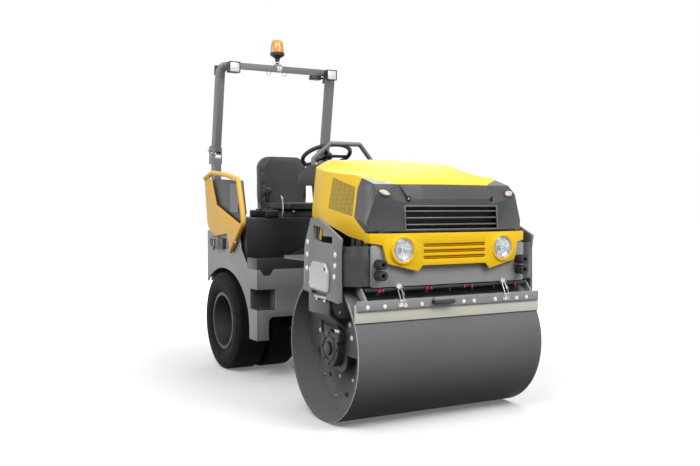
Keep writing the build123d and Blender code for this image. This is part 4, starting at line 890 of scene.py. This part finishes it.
def addPlateDetails(spec):
    heads, knobs, tabs, strips, hinges = (bmesh.new() for part in range(5))
    covers = surfaceOf("side_covers")
    face = spec["face"]
    for side in (-1, 1):
        out = (0, side, 0)
        for x, z in spec["bolts"]:
            joinShape(heads, domeShape(spec["bolt"] / 1000), spot(mm(x, side * face, z), out))
        x, z = spec["knob"]
        seat = seatFrom(covers, mm(x, side * 900, z), (0, -side, 0), -0.004)
        addTurned(knobs, [(0, 4.2), (8, 4.2), (9.5, 4.1), (10.5, 3.6), (10.5, 0)], seat, 28)
        for x, z in spec["hinges"]:
            joinShape(hinges, rodShape(0.0045, 0.022, 16, 0.0008), spot(mm(x, side * (face + 5), z - 11)))
            addBox(hinges, (12, 3, 16), at(x + 4, side * (face + 2), z), 0.0008)
        low, high = spec["bracket"]["low"], spec["bracket"]["high"]
        middle = mm((low[0] + high[0]) / 2, side * (face - 16), (low[1] + high[1]) / 2)
        addBox(tabs, (high[0] - low[0], 34, high[1] - low[1]), Matrix.Translation(middle), 0.003, 3)
        for x, z in spec["bracket"]["bolts"]:
            joinShape(heads, boltShape(0.009, 0.014), spot(mm(x, side * (face - 12), z + 9), (0, 0.35 * side, -1)))
        strip = spec["strip"]
        x, z = strip["place"]
        lean = Matrix.Rotation(math.radians(strip["lean"]), 4, "Y")
        addBox(strips, strip["size"], at(x, side * (face - 20.5), z) @ lean, 0.0008)
    addPiece(heads, "sidePlateBolts", "front_chassis", "boltWhite")
    addPiece(knobs, "coverKnobs", "front_chassis", "blackPlastic")
    addPiece(hinges, "coverHinges", "front_chassis", "zincSteel")
    addPiece(tabs, "coverBrackets", "front_chassis", "coverSilver")
    addPiece(strips, "slotStrips", "front_chassis", "grilleYellow")


addPlateDetails(plateSet)
print("front frame details made")


# drum: worn rims and the bolts of its end discs
drumSet = {
    "x": 840, "z": 395, "rim": 393, "half": 598, "face": 450, "circle": 322, "bolts": 12, "bolt": 9, "inner": 190,
    "innerBolts": 8,
}


def addDrumDetails(spec):
    rims, heads = bmesh.new(), bmesh.new()
    for side in (-1, 1):
        joinShape(
            rims, ringShape(spec["rim"] / 1000, 0.0019, 160, 8),
            spot(mm(spec["x"], side * spec["half"], spec["z"]), (0, side, 0))
        )
        for circle, count, phase in ((spec["circle"], spec["bolts"], 0.13), (spec["inner"], spec["innerBolts"], 0.4)):
            for index in range(count):
                angle = math.tau * index / count + phase
                place = mm(
                    spec["x"] + circle * math.cos(angle), side * spec["face"], spec["z"] + circle * math.sin(angle)
                )
                joinShape(heads, boltShape(spec["bolt"] / 1000), spot(place, (0, side, 0), 11 * index))
    addPiece(rims, "drumRims", "drum", "wornSteel")
    addPiece(heads, "drumBolts", "drum", "zincSteel")


addDrumDetails(drumSet)

# drum motors: end caps, port blocks, pipes down from the side plates, wing bolts
motorSet = {
    "cap": 560, "circle": 84, "bolts": 8, "x": 840, "z": 395,
    "block": {"place": (912, 535, 462), "size": (78, 52, 46)},
    "pipes": [
        [(858, 596, 700), (862, 588, 640), (884, 566, 566), (905, 552, 520), (906, 542, 486)],
        [(892, 598, 700), (898, 590, 646), (918, 570, 584), (930, 556, 530), (930, 542, 486)],
        [(826, 596, 690), (812, 584, 620), (770, 566, 560), (742, 552, 500), (748, 540, 440), (764, 540, 420)],
    ],
    "pipe": 8.5, "wings": [(681, 540), (661, 470), (999, 540), (1019, 470)], "wingFace": 516,
}


def addMotorDetails(spec):
    caps, heads, blocks, pipes, ends = (bmesh.new() for part in range(5))
    for side in (-1, 1):
        out = (0, side, 0)
        seat = spot(mm(spec["x"], side * spec["cap"], spec["z"]), out)
        addTurned(caps, [(0, 16), (30, 16), (36, 13), (38, 0)], seat, 40)
        addTurned(caps, [(62, 0), (64, 5), (70, 5), (72, 0)], seat, 48, True)
        for index in range(spec["bolts"]):
            angle = math.tau * index / spec["bolts"]
            place = at(spec["circle"] * math.cos(angle), spec["circle"] * math.sin(angle), 0)
            joinShape(caps, boltShape(0.008), seat @ place)
        x, y, z = spec["block"]["place"]
        addBox(blocks, spec["block"]["size"], at(x, side * y, z), 0.004, 3)
        addBox(blocks, (58, 26, 44), at(766, side * 531, 396), 0.004, 3)
        for route in spec["pipes"]:
            points = [mm(px, side * py, pz) for px, py, pz in route]
            joinShape(pipes, tubeShape(points, spec["pipe"] / 1000, 16))
            last, before = Vector(points[-1]), Vector(points[-2])
            joinShape(ends, rodShape(0.0125, 0.024, 6, 0.0012), spot(last, before - last))
            first, after = Vector(points[0]), Vector(points[1])
            joinShape(ends, rodShape(0.0125, 0.02, 6, 0.0012), spot(first, after - first))
        for wx, wz in spec["wings"]:
            joinShape(heads, boltShape(0.0115), spot(mm(wx, side * spec["wingFace"], wz), out))
    addPiece(caps, "motorCaps", "front_chassis", "blackSteel")
    addPiece(heads, "motorBolts", "front_chassis", "boltWhite")
    addPiece(blocks, "motorBlocks", "front_chassis", "castBlock")
    addPiece(pipes, "motorPipes", "front_chassis", "blackPlastic")
    addPiece(ends, "pipeNuts", "front_chassis", "zincSteel")


addMotorDetails(motorSet)
print("drum details made")


# seat pads: blown up by cloth pressure from slightly smaller shapes
clothSet = {"pressure": 4, "frames": 20, "levels": 1}
padSet = {
    "seat_cushion": {"name": "seatPad", "shrink": 9, "cap": 9, "voxel": 6, "dish": 16, "across": 0, "corner": 0},
    "seat_backrest": {"name": "backPad", "shrink": 8, "cap": 8, "voxel": 6, "dish": 0, "across": 26, "corner": 0.13},
}


def padStart(name, spec):
    bm = bmesh.new()
    bm.from_mesh(nodes[name].data)
    bmesh.ops.remove_doubles(bm, verts=bm.verts, dist=2e-5)
    bmesh.ops.dissolve_limit(bm, angle_limit=math.radians(0.6), verts=bm.verts[:], edges=bm.edges[:])
    low, high = (Vector(corner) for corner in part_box(name))
    middle, size = (low + high) / 2, high - low
    fit = [1 - 2 * spec["shrink"] / 1000 / side for side in size]
    bmesh.ops.translate(bm, vec=-middle, verts=bm.verts)
    bmesh.ops.scale(bm, vec=fit, verts=bm.verts)
    bmesh.ops.translate(bm, vec=middle, verts=bm.verts)
    return bm, middle, size


def shapePad(obj, middle, size, spec):
    for vert in obj.data.vertices:
        place = vert.co - middle
        across, along, up = place.y / (size.y / 2), place.x / (size.x / 2), place.z / (size.z / 2)
        vert.co.z -= spec["dish"] / 1000 * max(0, 1 - across ** 2) * max(0, 1 - along ** 2) * max(0, up)
        wing = spec["across"] / 1000
        vert.co.x -= wing * max(0, along) * max(0, 1 - (across / 0.8) ** 2) * (0.4 + 0.6 * max(0, 1 - up ** 2))
        vert.co.x -= wing * 0.5 * max(0, up) ** 2
        vert.co.y *= 1 - 0.1 * (wing > 0) * max(0, -up - 0.35)
        vert.co.y -= spec["corner"] * place.y * max(0, up) ** 6
        vert.co.z -= spec["corner"] * size.z / 2 * abs(across) ** 6 * max(0, up)


def addPad(name, spec):
    bm, middle, size = padStart(name, spec)
    pad = addPiece(bm, spec["name"], nodeBody[name], "seatVinyl", (name,), 60)
    remesh = pad.modifiers.new("remesh", "REMESH")
    remesh.mode = "VOXEL"
    remesh.voxel_size = spec["voxel"] / 1000
    bakeModifiers(pad)
    shapePad(pad, middle, size, spec)
    start = [vert.co.copy() for vert in pad.data.vertices]
    cloth = pad.modifiers.new("swell", "CLOTH")
    cloth.settings.use_pressure = True
    cloth.settings.uniform_pressure_force = clothSet["pressure"]
    cloth.settings.effector_weights.gravity = 0
    for step in range(1, clothSet["frames"] + 1):
        scene.frame_set(step)
    bakeModifiers(pad)
    scene.frame_set(1)
    cap = spec["cap"] / 1000
    for vert, first in zip(pad.data.vertices, start):
        move = vert.co - first
        if move.length > cap:
            vert.co = first + move.normalized() * cap
    soft = pad.modifiers.new("round", "SUBSURF")
    soft.levels = soft.render_levels = clothSet["levels"]
    pad.data.shade_smooth()


def bakeModifiers(obj):
    bpy.context.view_layer.update()
    graph = bpy.context.evaluated_depsgraph_get()
    mesh = bpy.data.meshes.new_from_object(obj.evaluated_get(graph))
    for modifier in list(obj.modifiers):
        obj.modifiers.remove(modifier)
    obj.data = mesh


for padName, padSpec in padSet.items():
    addPad(padName, padSpec)

# seat: side hinges and slide rails
seatSet = {"hinge": (-945, 168, 1150), "rail": (-720, 120, 1128)}


def addSeatDetails(spec):
    hinges, rails = bmesh.new(), bmesh.new()
    x, y, z = spec["hinge"]
    for side in (-1, 1):
        plate = plateShape(mmProfile((-70, -30), (60, -34), (66, -8), (10, 20), (-20, 92), (-62, 92)), 0.006, 0.0015)
        joinShape(hinges, plate, at(x, side * y + 6, z) @ Matrix.Rotation(math.pi / 2, 4, "X"))
        joinShape(hinges, domeShape(0.014), spot(mm(x - 4, side * (y + 6), z + 4), (0, side, 0)))
        rx, ry, rz = spec["rail"]
        addBox(rails, (360, 22, 14), at(rx, side * ry, rz), 0.003)
    addPiece(hinges, "seatHinges", "rear_chassis", "blackSteel")
    addPiece(rails, "seatRails", "rear_chassis", "zincSteel")


addSeatDetails(seatSet)

# dash on the steering console: gauges, rocker switches, pilot lamps and the start switch
dashSet = {
    "x": -120, "gauges": (-150, 150), "radius": 36, "ticks": 11, "rockers": (-96, -70, 70, 96),
    "lamps": [(-78, -30), (-78, -10), (-78, 10), (-78, 30)], "start": (-120, 0),
}


def addDash(spec):
    surface = surfaceOf("steering_console")
    bezels, dials, glass, marks, lamps = (bmesh.new() for part in range(5))

    def seatAt(x, y):
        return seatFrom(surface, mm(x, y, 1700), (0, 0, -1))

    big = spec["radius"]
    for y in spec["gauges"]:
        seat = seatAt(spec["x"], y)
        addTurned(bezels, [(big, -2), (big + 5, -2), (big + 5, 5), (big + 2, 8), (big, 6)], seat, 48, True)
        addTurned(dials, [(0, 2), (big, 2), (big, -1)], seat, 48)
        addTurned(glass, [(0, 7), (big - 8, 6.4), (big, 5.4), (big, 4.8), (big - 8, 5.8), (0, 6.4)], seat, 48)
        for index in range(spec["ticks"]):
            turn = Matrix.Rotation(math.radians(240 * index / (spec["ticks"] - 1) - 120), 4, "Z")
            addBox(marks, (1.6, 7, 0.8), seat @ turn @ at(0, big - 8, 2.3), 0.0002, 1)
        needle = Matrix.Rotation(math.radians(70), 4, "Z") @ at(0, 9, 3.4)
        addBox(marks, (1.8, 28, 0.8), seat @ needle, 0.0003, 1)
        joinShape(marks, domeShape(0.0035), seat @ lifted(0.002))
    for y in spec["rockers"]:
        seat = seatAt(spec["x"], y)
        addBox(bezels, (20, 40, 6), seat, 0.002)
        addBox(marks, (13, 30, 8), seat @ lifted(0.002) @ Matrix.Rotation(0.12, 4, "X"), 0.002)
    for x, y in spec["lamps"]:
        joinShape(lamps, domeShape(0.006), seatAt(x, y))
    seat = seatAt(*spec["start"])
    addTurned(bezels, [(0, 6), (10, 6), (15, 4), (17, 0)], seat, 32)
    addBox(bezels, (4, 22, 20), seat @ lifted(0.014), 0.0015)
    addPiece(bezels, "dashBezels", "rear_chassis", "greyTrimAndHighlight")
    addPiece(dials, "dashDials", "rear_chassis", "dialWhite")
    addPiece(glass, "dashGlass", "rear_chassis", "glassClear")
    addPiece(marks, "dashMarks", "rear_chassis", "blackPlastic")
    addPiece(lamps, "dashLamps", "rear_chassis", "beaconAmber")


addDash(dashSet)

# travel lever on its low console: bellows, grip with buttons, and the bent stay beside it
leverSet = {
    "place": (-600, -300, 1138), "console": {"place": (-640, -300, 1111), "size": (296, 106, 52)}, "lean": 0.16,
    "stay": [
        (-520, -246, 1216), (-492, -240, 1236), (-470, -236, 1222), (-468, -232, 1176), (-482, -228, 1120),
        (-500, -226, 1084)
    ],
}


def addLever(spec):
    console, boot, grip, knobs = (bmesh.new() for part in range(4))
    base = spec["console"]
    addBox(console, base["size"], at(*base["place"]), 0.012, 4)
    x, y, z = spec["place"]
    seat = spot(mm(x, y, z), (math.sin(spec["lean"]), 0, math.cos(spec["lean"])))
    folds = [(42 - 4.6 * step + (4 if step % 2 else 0), 1 + 8 * step) for step in range(7)]
    addTurned(boot, [(46, -6), *folds, (9.6, 56)], seat, 32)
    addTurned(boot, [(42, -8), (50, -8), (50, 3), (47, 5), (42, 5)], spot(mm(x, y, z)), 32, True)
    addTurned(
        grip,
        [(10, 50), (14, 56), (17.5, 74), (16.5, 90), (20, 104), (25, 118), (27, 134), (24, 150), (13, 158), (0, 159)],
        seat, 32
    )
    addBox(grip, (26, 34, 22), seat @ at(13, 0, 132), 0.006, 3)
    for side in (-1, 1):
        joinShape(knobs, domeShape(0.0055), seat @ at(-26, 8 * side, 134) @ Matrix.Rotation(-math.pi / 2, 4, "Y"))
    for index in range(3):
        addBox(knobs, (16, 24, 10), at(x - 84 - 36 * index, y, z + 3), 0.002)
    stay = tubeShape([mm(*point) for point in spec["stay"]], 0.006, 16)
    addPiece(console, "leverConsole", "rear_chassis", "blackPlastic", ("lever_console",))
    addPiece(boot, "leverBoot", "rear_chassis", "bufferRubber")
    addPiece(grip, "leverGrip", "rear_chassis", "blackPlastic")
    addPiece(knobs, "leverSwitches", "rear_chassis", "greyTrimAndHighlight")
    addPiece(stay, "leverStay", "rear_chassis", "zincSteel")


addLever(leverSet)
print("seat and lever made")


# roll bar: work lights with finned cases on short arms
workLightSet = {"x": -964, "y": 400, "z": 2177, "size": (54, 86, 80), "front": -937, "arm": (-1012, 2190)}


def addWorkLights(spec):
    cases, frames, lenses, arms = (bmesh.new() for part in range(4))
    for side in (-1, 1):
        place = at(spec["x"] - 4, side * spec["y"], spec["z"])
        addBox(cases, spec["size"], place, 0.009, 3)
        for index in range(5):
            fin = boxShape(mm(16, 3, 60), 0.001)
            joinShape(cases, fin, at(spec["x"] - 33, side * spec["y"] + 15 * (index - 2), spec["z"]))
        for up in (-1, 1):
            rail = boxShape(mm(9, 86, 8), 0.0025)
            joinShape(frames, rail, at(spec["front"] - 1, side * spec["y"], spec["z"] + 36 * up))
            post = boxShape(mm(9, 8, 80), 0.0025)
            joinShape(frames, post, at(spec["front"] - 1, side * spec["y"] + 39 * up, spec["z"]))
        addBox(lenses, (5, 71, 65), at(spec["front"] - 1.5, side * spec["y"], spec["z"]), 0.0015)
        addBox(arms, (58, 30, 20), at(spec["arm"][0], side * spec["y"], spec["arm"][1]), 0.002)
        joinShape(arms, boltShape(0.008), spot(mm(spec["arm"][0], side * spec["y"], spec["arm"][1] + 10)))
    addPiece(cases, "workLightCases", "roll_bar", "blackPlastic", ("work_lights",))
    addPiece(frames, "workLightFrames", "roll_bar", "blackPlastic")
    addPiece(lenses, "workLightLenses", "roll_bar", "lensClear")
    addPiece(arms, "workLightArms", "roll_bar", "blackSteel")


addWorkLights(workLightSet)

# beacon with its clamp on the bar
beaconSet = {"x": -1073, "ribs": 16}


def addBeacon(spec):
    seat = spot(mm(spec["x"], 0, 0))
    base, dome, clamp = bmesh.new(), bmesh.new(), bmesh.new()
    addTurned(
        base,
        [
            (0, 2243), (11, 2243), (11, 2262), (16, 2264), (18, 2284), (22, 2292), (48, 2308), (55, 2312),
            (55.6, 2330), (53, 2334), (0, 2334)
        ],
        seat
    )
    glass = mmProfile(
        (51.5, 2333), (52, 2340), (51.2, 2372), (49, 2398), (45, 2414), (36, 2427), (22, 2434), (0, 2436.5)
    )
    joinShape(dome, turnShape(glass, 64), seat)
    for index in range(spec["ribs"]):
        angle = math.tau * index / spec["ribs"]
        rib = boxShape(mm(1.6, 3, 60), 0.0007)
        joinShape(dome, rib, seat @ Matrix.Rotation(angle, 4, "Z") @ at(50, 0, 2366) @ Matrix.Rotation(-0.03, 4, "Y"))
    surface = surfaceOf("rops_hoop")
    front = seatFrom(surface, mm(-800, 0, 2206), (-1, 0, 0))
    joinShape(clamp, plateShape(mmProfile((-20, -18), (20, -18), (20, 22), (-20, 22)), 0.004, 0.001), front)
    for across in (-11, 11):
        joinShape(clamp, boltShape(0.0085), front @ at(across, 2, 4))
    addTurned(clamp, [(11, 2256), (20, 2256), (20, 2262), (11, 2262)], seat, 32, True)
    addPiece(base, "beaconBase", "roll_bar", "blackPlastic", ("beacon",))
    addPiece(dome, "beaconDome", "roll_bar", "beaconAmber")
    addPiece(clamp, "beaconClamp", "roll_bar", "zincSteel")


addBeacon(beaconSet)

# under and behind the bar: cable loops, junction box, rear lamps, and the fold pins in the cheeks
barSet = {"x": -1060, "loops": (-78, 52), "box": (-1056, 314), "lamp": (455, 2172), "pin": (-1232, 1584)}


def addBarDetails(spec):
    surface = surfaceOf("rops_hoop")
    loops, boxes, pins, caps = (bmesh.new() for part in range(4))

    def underside(x, y):
        return surface.ray_cast(Vector(mm(x, y, 1900)), Vector((0, 0, 1)))[0].z * 1000

    x = spec["x"]
    for y in spec["loops"]:
        low = underside(x, y)
        bends = ((-17, 3), (-17, -12), (-9, -24), (9, -24), (17, -12), (17, 3))
        joinShape(loops, tubeShape([mm(x, y + across, low + up) for across, up in bends], 0.0024, 10))
    x, y = spec["box"]
    low = underside(x, y)
    addBox(boxes, (54, 82, 34), at(x, y, low - 17), 0.004, 3)
    joinShape(boxes, rodShape(0.008, 0.03, 20, 0.001), spot(mm(x, y + 40, low - 17), (0, 1, 0)))
    for side in (-1, 1):
        back = seatFrom(surface, mm(-1500, side * spec["lamp"][0], spec["lamp"][1]), (1, 0, 0))
        addBox(boxes, (46, 74, 40), back @ lifted(0.02), 0.006, 3)
        joinShape(
            caps, plateShape(mmProfile((-19, -32), (19, -32), (19, 32), (-19, 32)), 0.004, 0.0015),
            back @ lifted(0.0395)
        )
        x, z = spec["pin"]
        joinShape(pins, rodShape(0.0118, 0.012, 24, 0.001), spot(mm(x, side * 489, z), (0, side, 0)))
        joinShape(pins, rodShape(0.017, 0.004, 24, 0.0008), spot(mm(x, side * 489, z), (0, side, 0)))
    addPiece(loops, "cableLoops", "roll_bar", "zincSteel")
    addPiece(boxes, "barBoxes", "roll_bar", "blackPlastic")
    addPiece(caps, "barLampLenses", "roll_bar", "lampRed")
    addPiece(pins, "foldPins", "rear_chassis", "zincSteel")


addBarDetails(barSet)

# lock pins with rings on the post cheeks, and the bright bands at the posts' tops
postSet = {"lock": (-1162, 1560), "band": (-1139, 1548)}


def addPostDetails(spec):
    pins, bands = bmesh.new(), bmesh.new()
    x, z = spec["lock"]
    for side in (-1, 1):
        joinShape(pins, rodShape(0.009, 0.016, 20, 0.001), spot(mm(x, side * 487, z), (0, side, 0)))
        joinShape(pins, ringShape(0.017, 0.002, 32, 8), spot(mm(x, side * 497, z - 14), (1, 0, 0)))
        bx, bz = spec["band"]
        addBox(bands, (5, 44, 24), at(bx, side * 457, bz - 18), 0.0015)
        joinShape(bands, domeShape(0.006), spot(mm(bx + 2, side * 457, bz - 18), (1, 0, 0)))
    addPiece(pins, "lockPins", "rear_chassis", "zincSteel")
    addPiece(bands, "postBands", "rear_chassis", "boltWhite")


addPostDetails(postSet)
print("roll bar details made")


# wheels: nuts, valve and the ridges moulded in the tyres' walls
wheelSet = {"x": -840, "z": 345, "circle": 84, "nuts": 8, "ridges": [(318, 4), (296, 2), (222, 3.5)]}


def addWheelDetails(spec):
    for side, body in ((1, "wheels_left"), (-1, "wheels_right")):
        rims, tyres = surfaceOf("rims" + body[6:]), surfaceOf("tyres" + body[6:])
        nuts, ridges = bmesh.new(), bmesh.new()
        for index in range(spec["nuts"]):
            angle = math.tau * index / spec["nuts"]
            x, z = spec["x"] + spec["circle"] * math.cos(angle), spec["z"] + spec["circle"] * math.sin(angle)
            joinShape(nuts, boltShape(0.013, 0.016), seatFrom(rims, mm(x, side * 900, z), (0, -side, 0)))
        valve = seatFrom(rims, mm(spec["x"] + 128, side * 900, spec["z"]), (0, -side, 0))
        joinShape(nuts, rodShape(0.006, 0.03, 16, 0.001), valve)
        for radius, tube in spec["ridges"]:
            wall = tyres.ray_cast(Vector(mm(spec["x"] + radius, side * 900, spec["z"])), Vector((0, -side, 0)))[0]
            joinShape(
                ridges, ringShape(radius / 1000, tube / 1000, 120, 8),
                spot((mm(spec["x"])[0], wall.y - side * 0.3 * tube / 1000, mm(spec["z"])[0]), (0, side, 0))
            )
        addPiece(nuts, "wheelNuts" + body[7:].title(), body, "rimPaint")
        addPiece(ridges, "tyreRidges" + body[7:].title(), body, "tyreRubber")


addWheelDetails(wheelSet)
print("wheel details made")


# lashing device on the right rear plate
deviceSet = {"ring": (-1056, 897), "post": (-934, 897), "face": 528}


def addDevice(spec):
    grey, dark = bmesh.new(), bmesh.new()
    x, z = spec["ring"]
    out = (0, -1, 0)
    seat = spot(mm(x, -spec["face"], z), out)
    addTurned(grey, [(34, 0), (50, 0), (53, 3), (53, 12), (50, 15), (36, 15), (34, 12)], seat, 48, True)
    addTurned(dark, [(0, 9), (22, 9), (26, 6), (34, 6), (34, 0)], seat, 40)
    addBox(grey, (8, 10, 60), at(x, -spec["face"] - 10, z), 0.002)
    px, pz = spec["post"]
    joinShape(grey, rodShape(0.011, 0.09, 24, 0.001), spot(mm(px, -spec["face"] - 14, pz - 45)))
    addBox(dark, (104, 24, 78), at(px + 84, -spec["face"] - 12, pz), 0.005, 3)
    for index in range(4):
        rib = boxShape(mm(6, 6, 66), 0.002)
        joinShape(grey, rib, at(px + 48 + 24 * index, -spec["face"] - 25, pz))
    stay = [(x + 40, 18, z + 34), (x + 80, 20, z + 38), (px - 20, 18, z + 30), (px, 16, z + 34)]
    joinShape(grey, tubeShape([mm(sx, -spec["face"] - far, sz) for sx, far, sz in stay], 0.005, 12))
    addPiece(grey, "lashingRing", "rear_chassis", "lightGrey")
    addPiece(dark, "lashingHousing", "rear_chassis", "darkGrey")


addDevice(deviceSet)

# bolts of the side guards, and access plates behind them
guardSet = {
    "bolts": [(-516, 872), (-1150, 1300), (-1150, 1180), (-560, 1330)],
    "panel": [(-700, 1120), (-556, 1120), (-520, 1290), (-520, 1320), (-700, 1320)],
}


def addGuardDetails(spec):
    guards = surfaceOf("side_guards")
    heads, plates = bmesh.new(), bmesh.new()
    for side in (-1, 1):
        for x, z in spec["bolts"]:
            joinShape(heads, domeShape(0.008), seatOn(guards, mm(x, side * 575, z)))
        outline = [mm(x, z) for x, z in spec["panel"]]
        flat = Matrix.Translation((0, side * 0.528, 0)) @ Matrix.Rotation(math.pi / 2, 4, "X")
        joinShape(plates, plateShape(outline, 0.004 * -side, 0.0012), flat)
    addPiece(heads, "guardBolts", "rear_chassis", "zincSteel")
    addPiece(plates, "accessPlates", "rear_chassis", "greyTrimAndHighlight")


addGuardDetails(guardSet)

# rear lamps, and the ribbed hatch between them
rearSet = {"lens": (6, 54, 44), "hatch": {"x": -1142.5, "half": 250, "low": 700, "high": 930, "ribs": 5}}


def addRearDetails(spec):
    bezels, lenses, amber, hatch, latch = (bmesh.new() for part in range(5))
    for side in (-1, 1):
        low, high = (Vector(corner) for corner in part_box("rear_lamps"))
        inner = Vector((low.x, side * (high.y - 0.035), (low.z + high.z) / 2))
        addBox(lenses, spec["lens"], Matrix.Translation(inner + Vector(mm(2, 0, -24))), 0.002)
        addBox(amber, spec["lens"], Matrix.Translation(inner + Vector(mm(2, 0, 24))), 0.002)
        addBox(bezels, (4, 62, 3), Matrix.Translation(inner + Vector(mm(2, 0, 0))), 0.0008)
    door = spec["hatch"]
    panel = boxShape(mm(5, 2 * door["half"], door["high"] - door["low"]), 0.002)
    joinShape(hatch, panel, at(door["x"], 0, (door["low"] + door["high"]) / 2))
    for index in range(door["ribs"]):
        rib = boxShape(mm(5, 2 * door["half"] - 150, 12), 0.002)
        level = door["low"] + 60 + 24 * index
        joinShape(hatch, rib, at(door["x"] - 3, 0, level) @ Matrix.Rotation(0.2, 4, "Y"))
    pull = [
        (-1144, -45, 905), (-1162, -43, 905), (-1166, -34, 905), (-1166, 34, 905), (-1162, 43, 905), (-1144, 45, 905)
    ]
    joinShape(latch, tubeShape([mm(*point) for point in pull], 0.005, 12))
    for side in (-1, 1):
        for z in (door["low"] + 18, door["high"] - 18):
            joinShape(latch, domeShape(0.009), spot(mm(-1145, side * (door["half"] - 20), z), (-1, 0, 0)))
    addPiece(lenses, "rearLampLenses", "rear_chassis", "lampRed")
    addPiece(amber, "rearAmberLenses", "rear_chassis", "beaconAmber")
    addPiece(bezels, "rearLampBars", "rear_chassis", "blackPlastic")
    addPiece(hatch, "rearHatch", "rear_chassis", "frameGrey")
    addPiece(latch, "rearHatchBolts", "rear_chassis", "zincSteel")


addRearDetails(rearSet)
print("rear frame details made")


# intake frame: rounded rails round the mask's opening, in a lighter grey that paints the highlight along the opening's
# edge
intakeSet = {"half": 301, "low": 1042, "high": 1166, "radius": 5}


def addIntakeFrame(spec):
    surface = surfaceOf("mask")
    rails = bmesh.new()
    half, low, high = spec["half"], spec["low"], spec["high"]
    corners = [(-half, low), (-half, high), (half, high), (half, low)]
    fronts = [
        surface.ray_cast(Vector(mm(1400, y + math.copysign(6, y), z)), Vector((-1, 0, 0)))[0].x for y, z in corners
    ]
    points = [Vector((front, *mm(y, z))) for front, (y, z) in zip(fronts, corners)]
    for first, second in zip(points, points[1:] + points[:1]):
        rail = rodShape(spec["radius"] / 1000, (second - first).length, 16, 0.001)
        joinShape(rails, rail, spot(first, second - first))
    for point in points:
        ball = turnShape(mmProfile((0, 5), (3.5, 3.5), (5, 0), (3.5, -3.5), (0, -5)), 16)
        joinShape(rails, ball, Matrix.Translation(point))
    addPiece(rails, "intakeFrame", "hood", "greyTrimAndHighlight")


addIntakeFrame(intakeSet)

# tabs of the foot pan that hang in the front wall's notches, and the ribbed mat
panSet = {
    "tab": [(405, 750), (434, 706), (477, 706), (505, 750)], "x": -236,
    "mat": {"rear": -470, "front": -262, "half": 400, "ribs": 18},
}


def addPanDetails(spec):
    tabs, mat = bmesh.new(), bmesh.new()
    for side in (-1, 1):
        outline = [mm(side * y, z) for y, z in spec["tab"]]
        turn = Matrix(((0, 0, 1, 0), (1, 0, 0, 0), (0, 1, 0, 0), (0, 0, 0, 1)))
        joinShape(tabs, plateShape(outline, -0.008, 0.001), at(spec["x"], 0, 0) @ turn)
    pad = spec["mat"]
    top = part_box("foot_pan")[0][2] * 1000 + 6
    length, middle = pad["front"] - pad["rear"], (pad["front"] + pad["rear"]) / 2
    addBox(mat, (length, 2 * pad["half"], 4), at(middle, 0, top + 2), 0.001)
    for index in range(pad["ribs"]):
        across = pad["half"] * (2 * (index + 0.5) / pad["ribs"] - 1)
        addBox(mat, (length - 16, 9, 4), at(middle, across, top + 4), 0.0015)
    addPiece(tabs, "panTabs", "rear_chassis", "darkGrey")
    addPiece(mat, "footMat", "rear_chassis", "matRubber")


addPanDetails(panSet)

# engine bay, seen when the hood is open: covers, filter, fan, pulleys, pipes
engineSet = {"top": 1220, "front": 1040, "filter": (760, 175, 1262)}


def addEngineDetails(spec):
    castings, dark, bright, fan = (bmesh.new() for part in range(4))
    addBox(castings, (330, 150, 44), at(800, -60, spec["top"] + 20), 0.012, 4)
    for index in range(4):
        joinShape(bright, domeShape(0.011), spot(mm(690 + 74 * index, -60, spec["top"] + 41)))
    x, y, z = spec["filter"]
    addTurned(
        dark, [(0, 0), (44, 0), (48, 4), (48, 118), (45, 122), (45, 128), (48, 132), (48, 196), (40, 204), (0, 204)],
        spot(mm(x - 100, y, z), (1, 0, 0)), 40
    )
    addTurned(bright, [(44, 121), (49.6, 122), (49.6, 128), (44, 129)], spot(mm(x - 100, y, z), (1, 0, 0)), 40, True)
    joinShape(
        dark,
        tubeShape(
            [
                mm(x + 100, y, z), mm(x + 150, y, z), mm(x + 176, y - 20, z - 10), mm(x + 180, y - 60, z - 30),
                mm(x + 180, y - 80, z - 44)
            ],
            0.02, 16
        )
    )
    joinShape(
        bright,
        tubeShape(
            [
                mm(680, -250, 1210), mm(680, -250, 1250), mm(720, -250, 1268), mm(860, -250, 1268),
                mm(900, -250, 1250), mm(900, -250, 1212)
            ],
            0.014, 16
        )
    )
    seat = spot(mm(spec["front"], 0, 1060), (1, 0, 0))
    addTurned(dark, [(0, 22), (26, 22), (30, 18), (30, 0)], seat, 32)
    for index in range(7):
        blade = plateShape(mmProfile((-14, 24), (16, 24), (34, 120), (-22, 124)), 0.003, 0.0008)
        turn = Matrix.Rotation(math.tau * index / 7, 4, "Z") @ at(0, 0, 14) @ Matrix.Rotation(0.5, 4, "Y")
        joinShape(fan, blade, seat @ turn)
    addTurned(
        dark, [(0, 14), (52, 14), (55, 11), (50, 8), (55, 5), (52, 0)], spot(mm(spec["front"], -150, 960), (1, 0, 0)),
        40
    )
    addTurned(
        dark, [(0, 14), (38, 14), (41, 11), (36, 8), (41, 5), (38, 0)], spot(mm(spec["front"], 170, 1120), (1, 0, 0)),
        40
    )
    for side in (-1, 1):
        for index in range(5):
            joinShape(bright, boltShape(0.009), spot(mm(650 + 80 * index, side * 290, 1190), (0, side, 0)))
            addBox(castings, (10, 12, 200), at(650 + 80 * index, side * 291, 1040), 0.003)
    addPiece(castings, "engineCovers", "front_chassis", "castBlock")
    addPiece(dark, "engineFilter", "front_chassis", "blackPlastic")
    addPiece(bright, "engineFittings", "front_chassis", "zincSteel")
    addPiece(fan, "engineFan", "front_chassis", "blackSteel")


addEngineDetails(engineSet)
print("engine bay made")
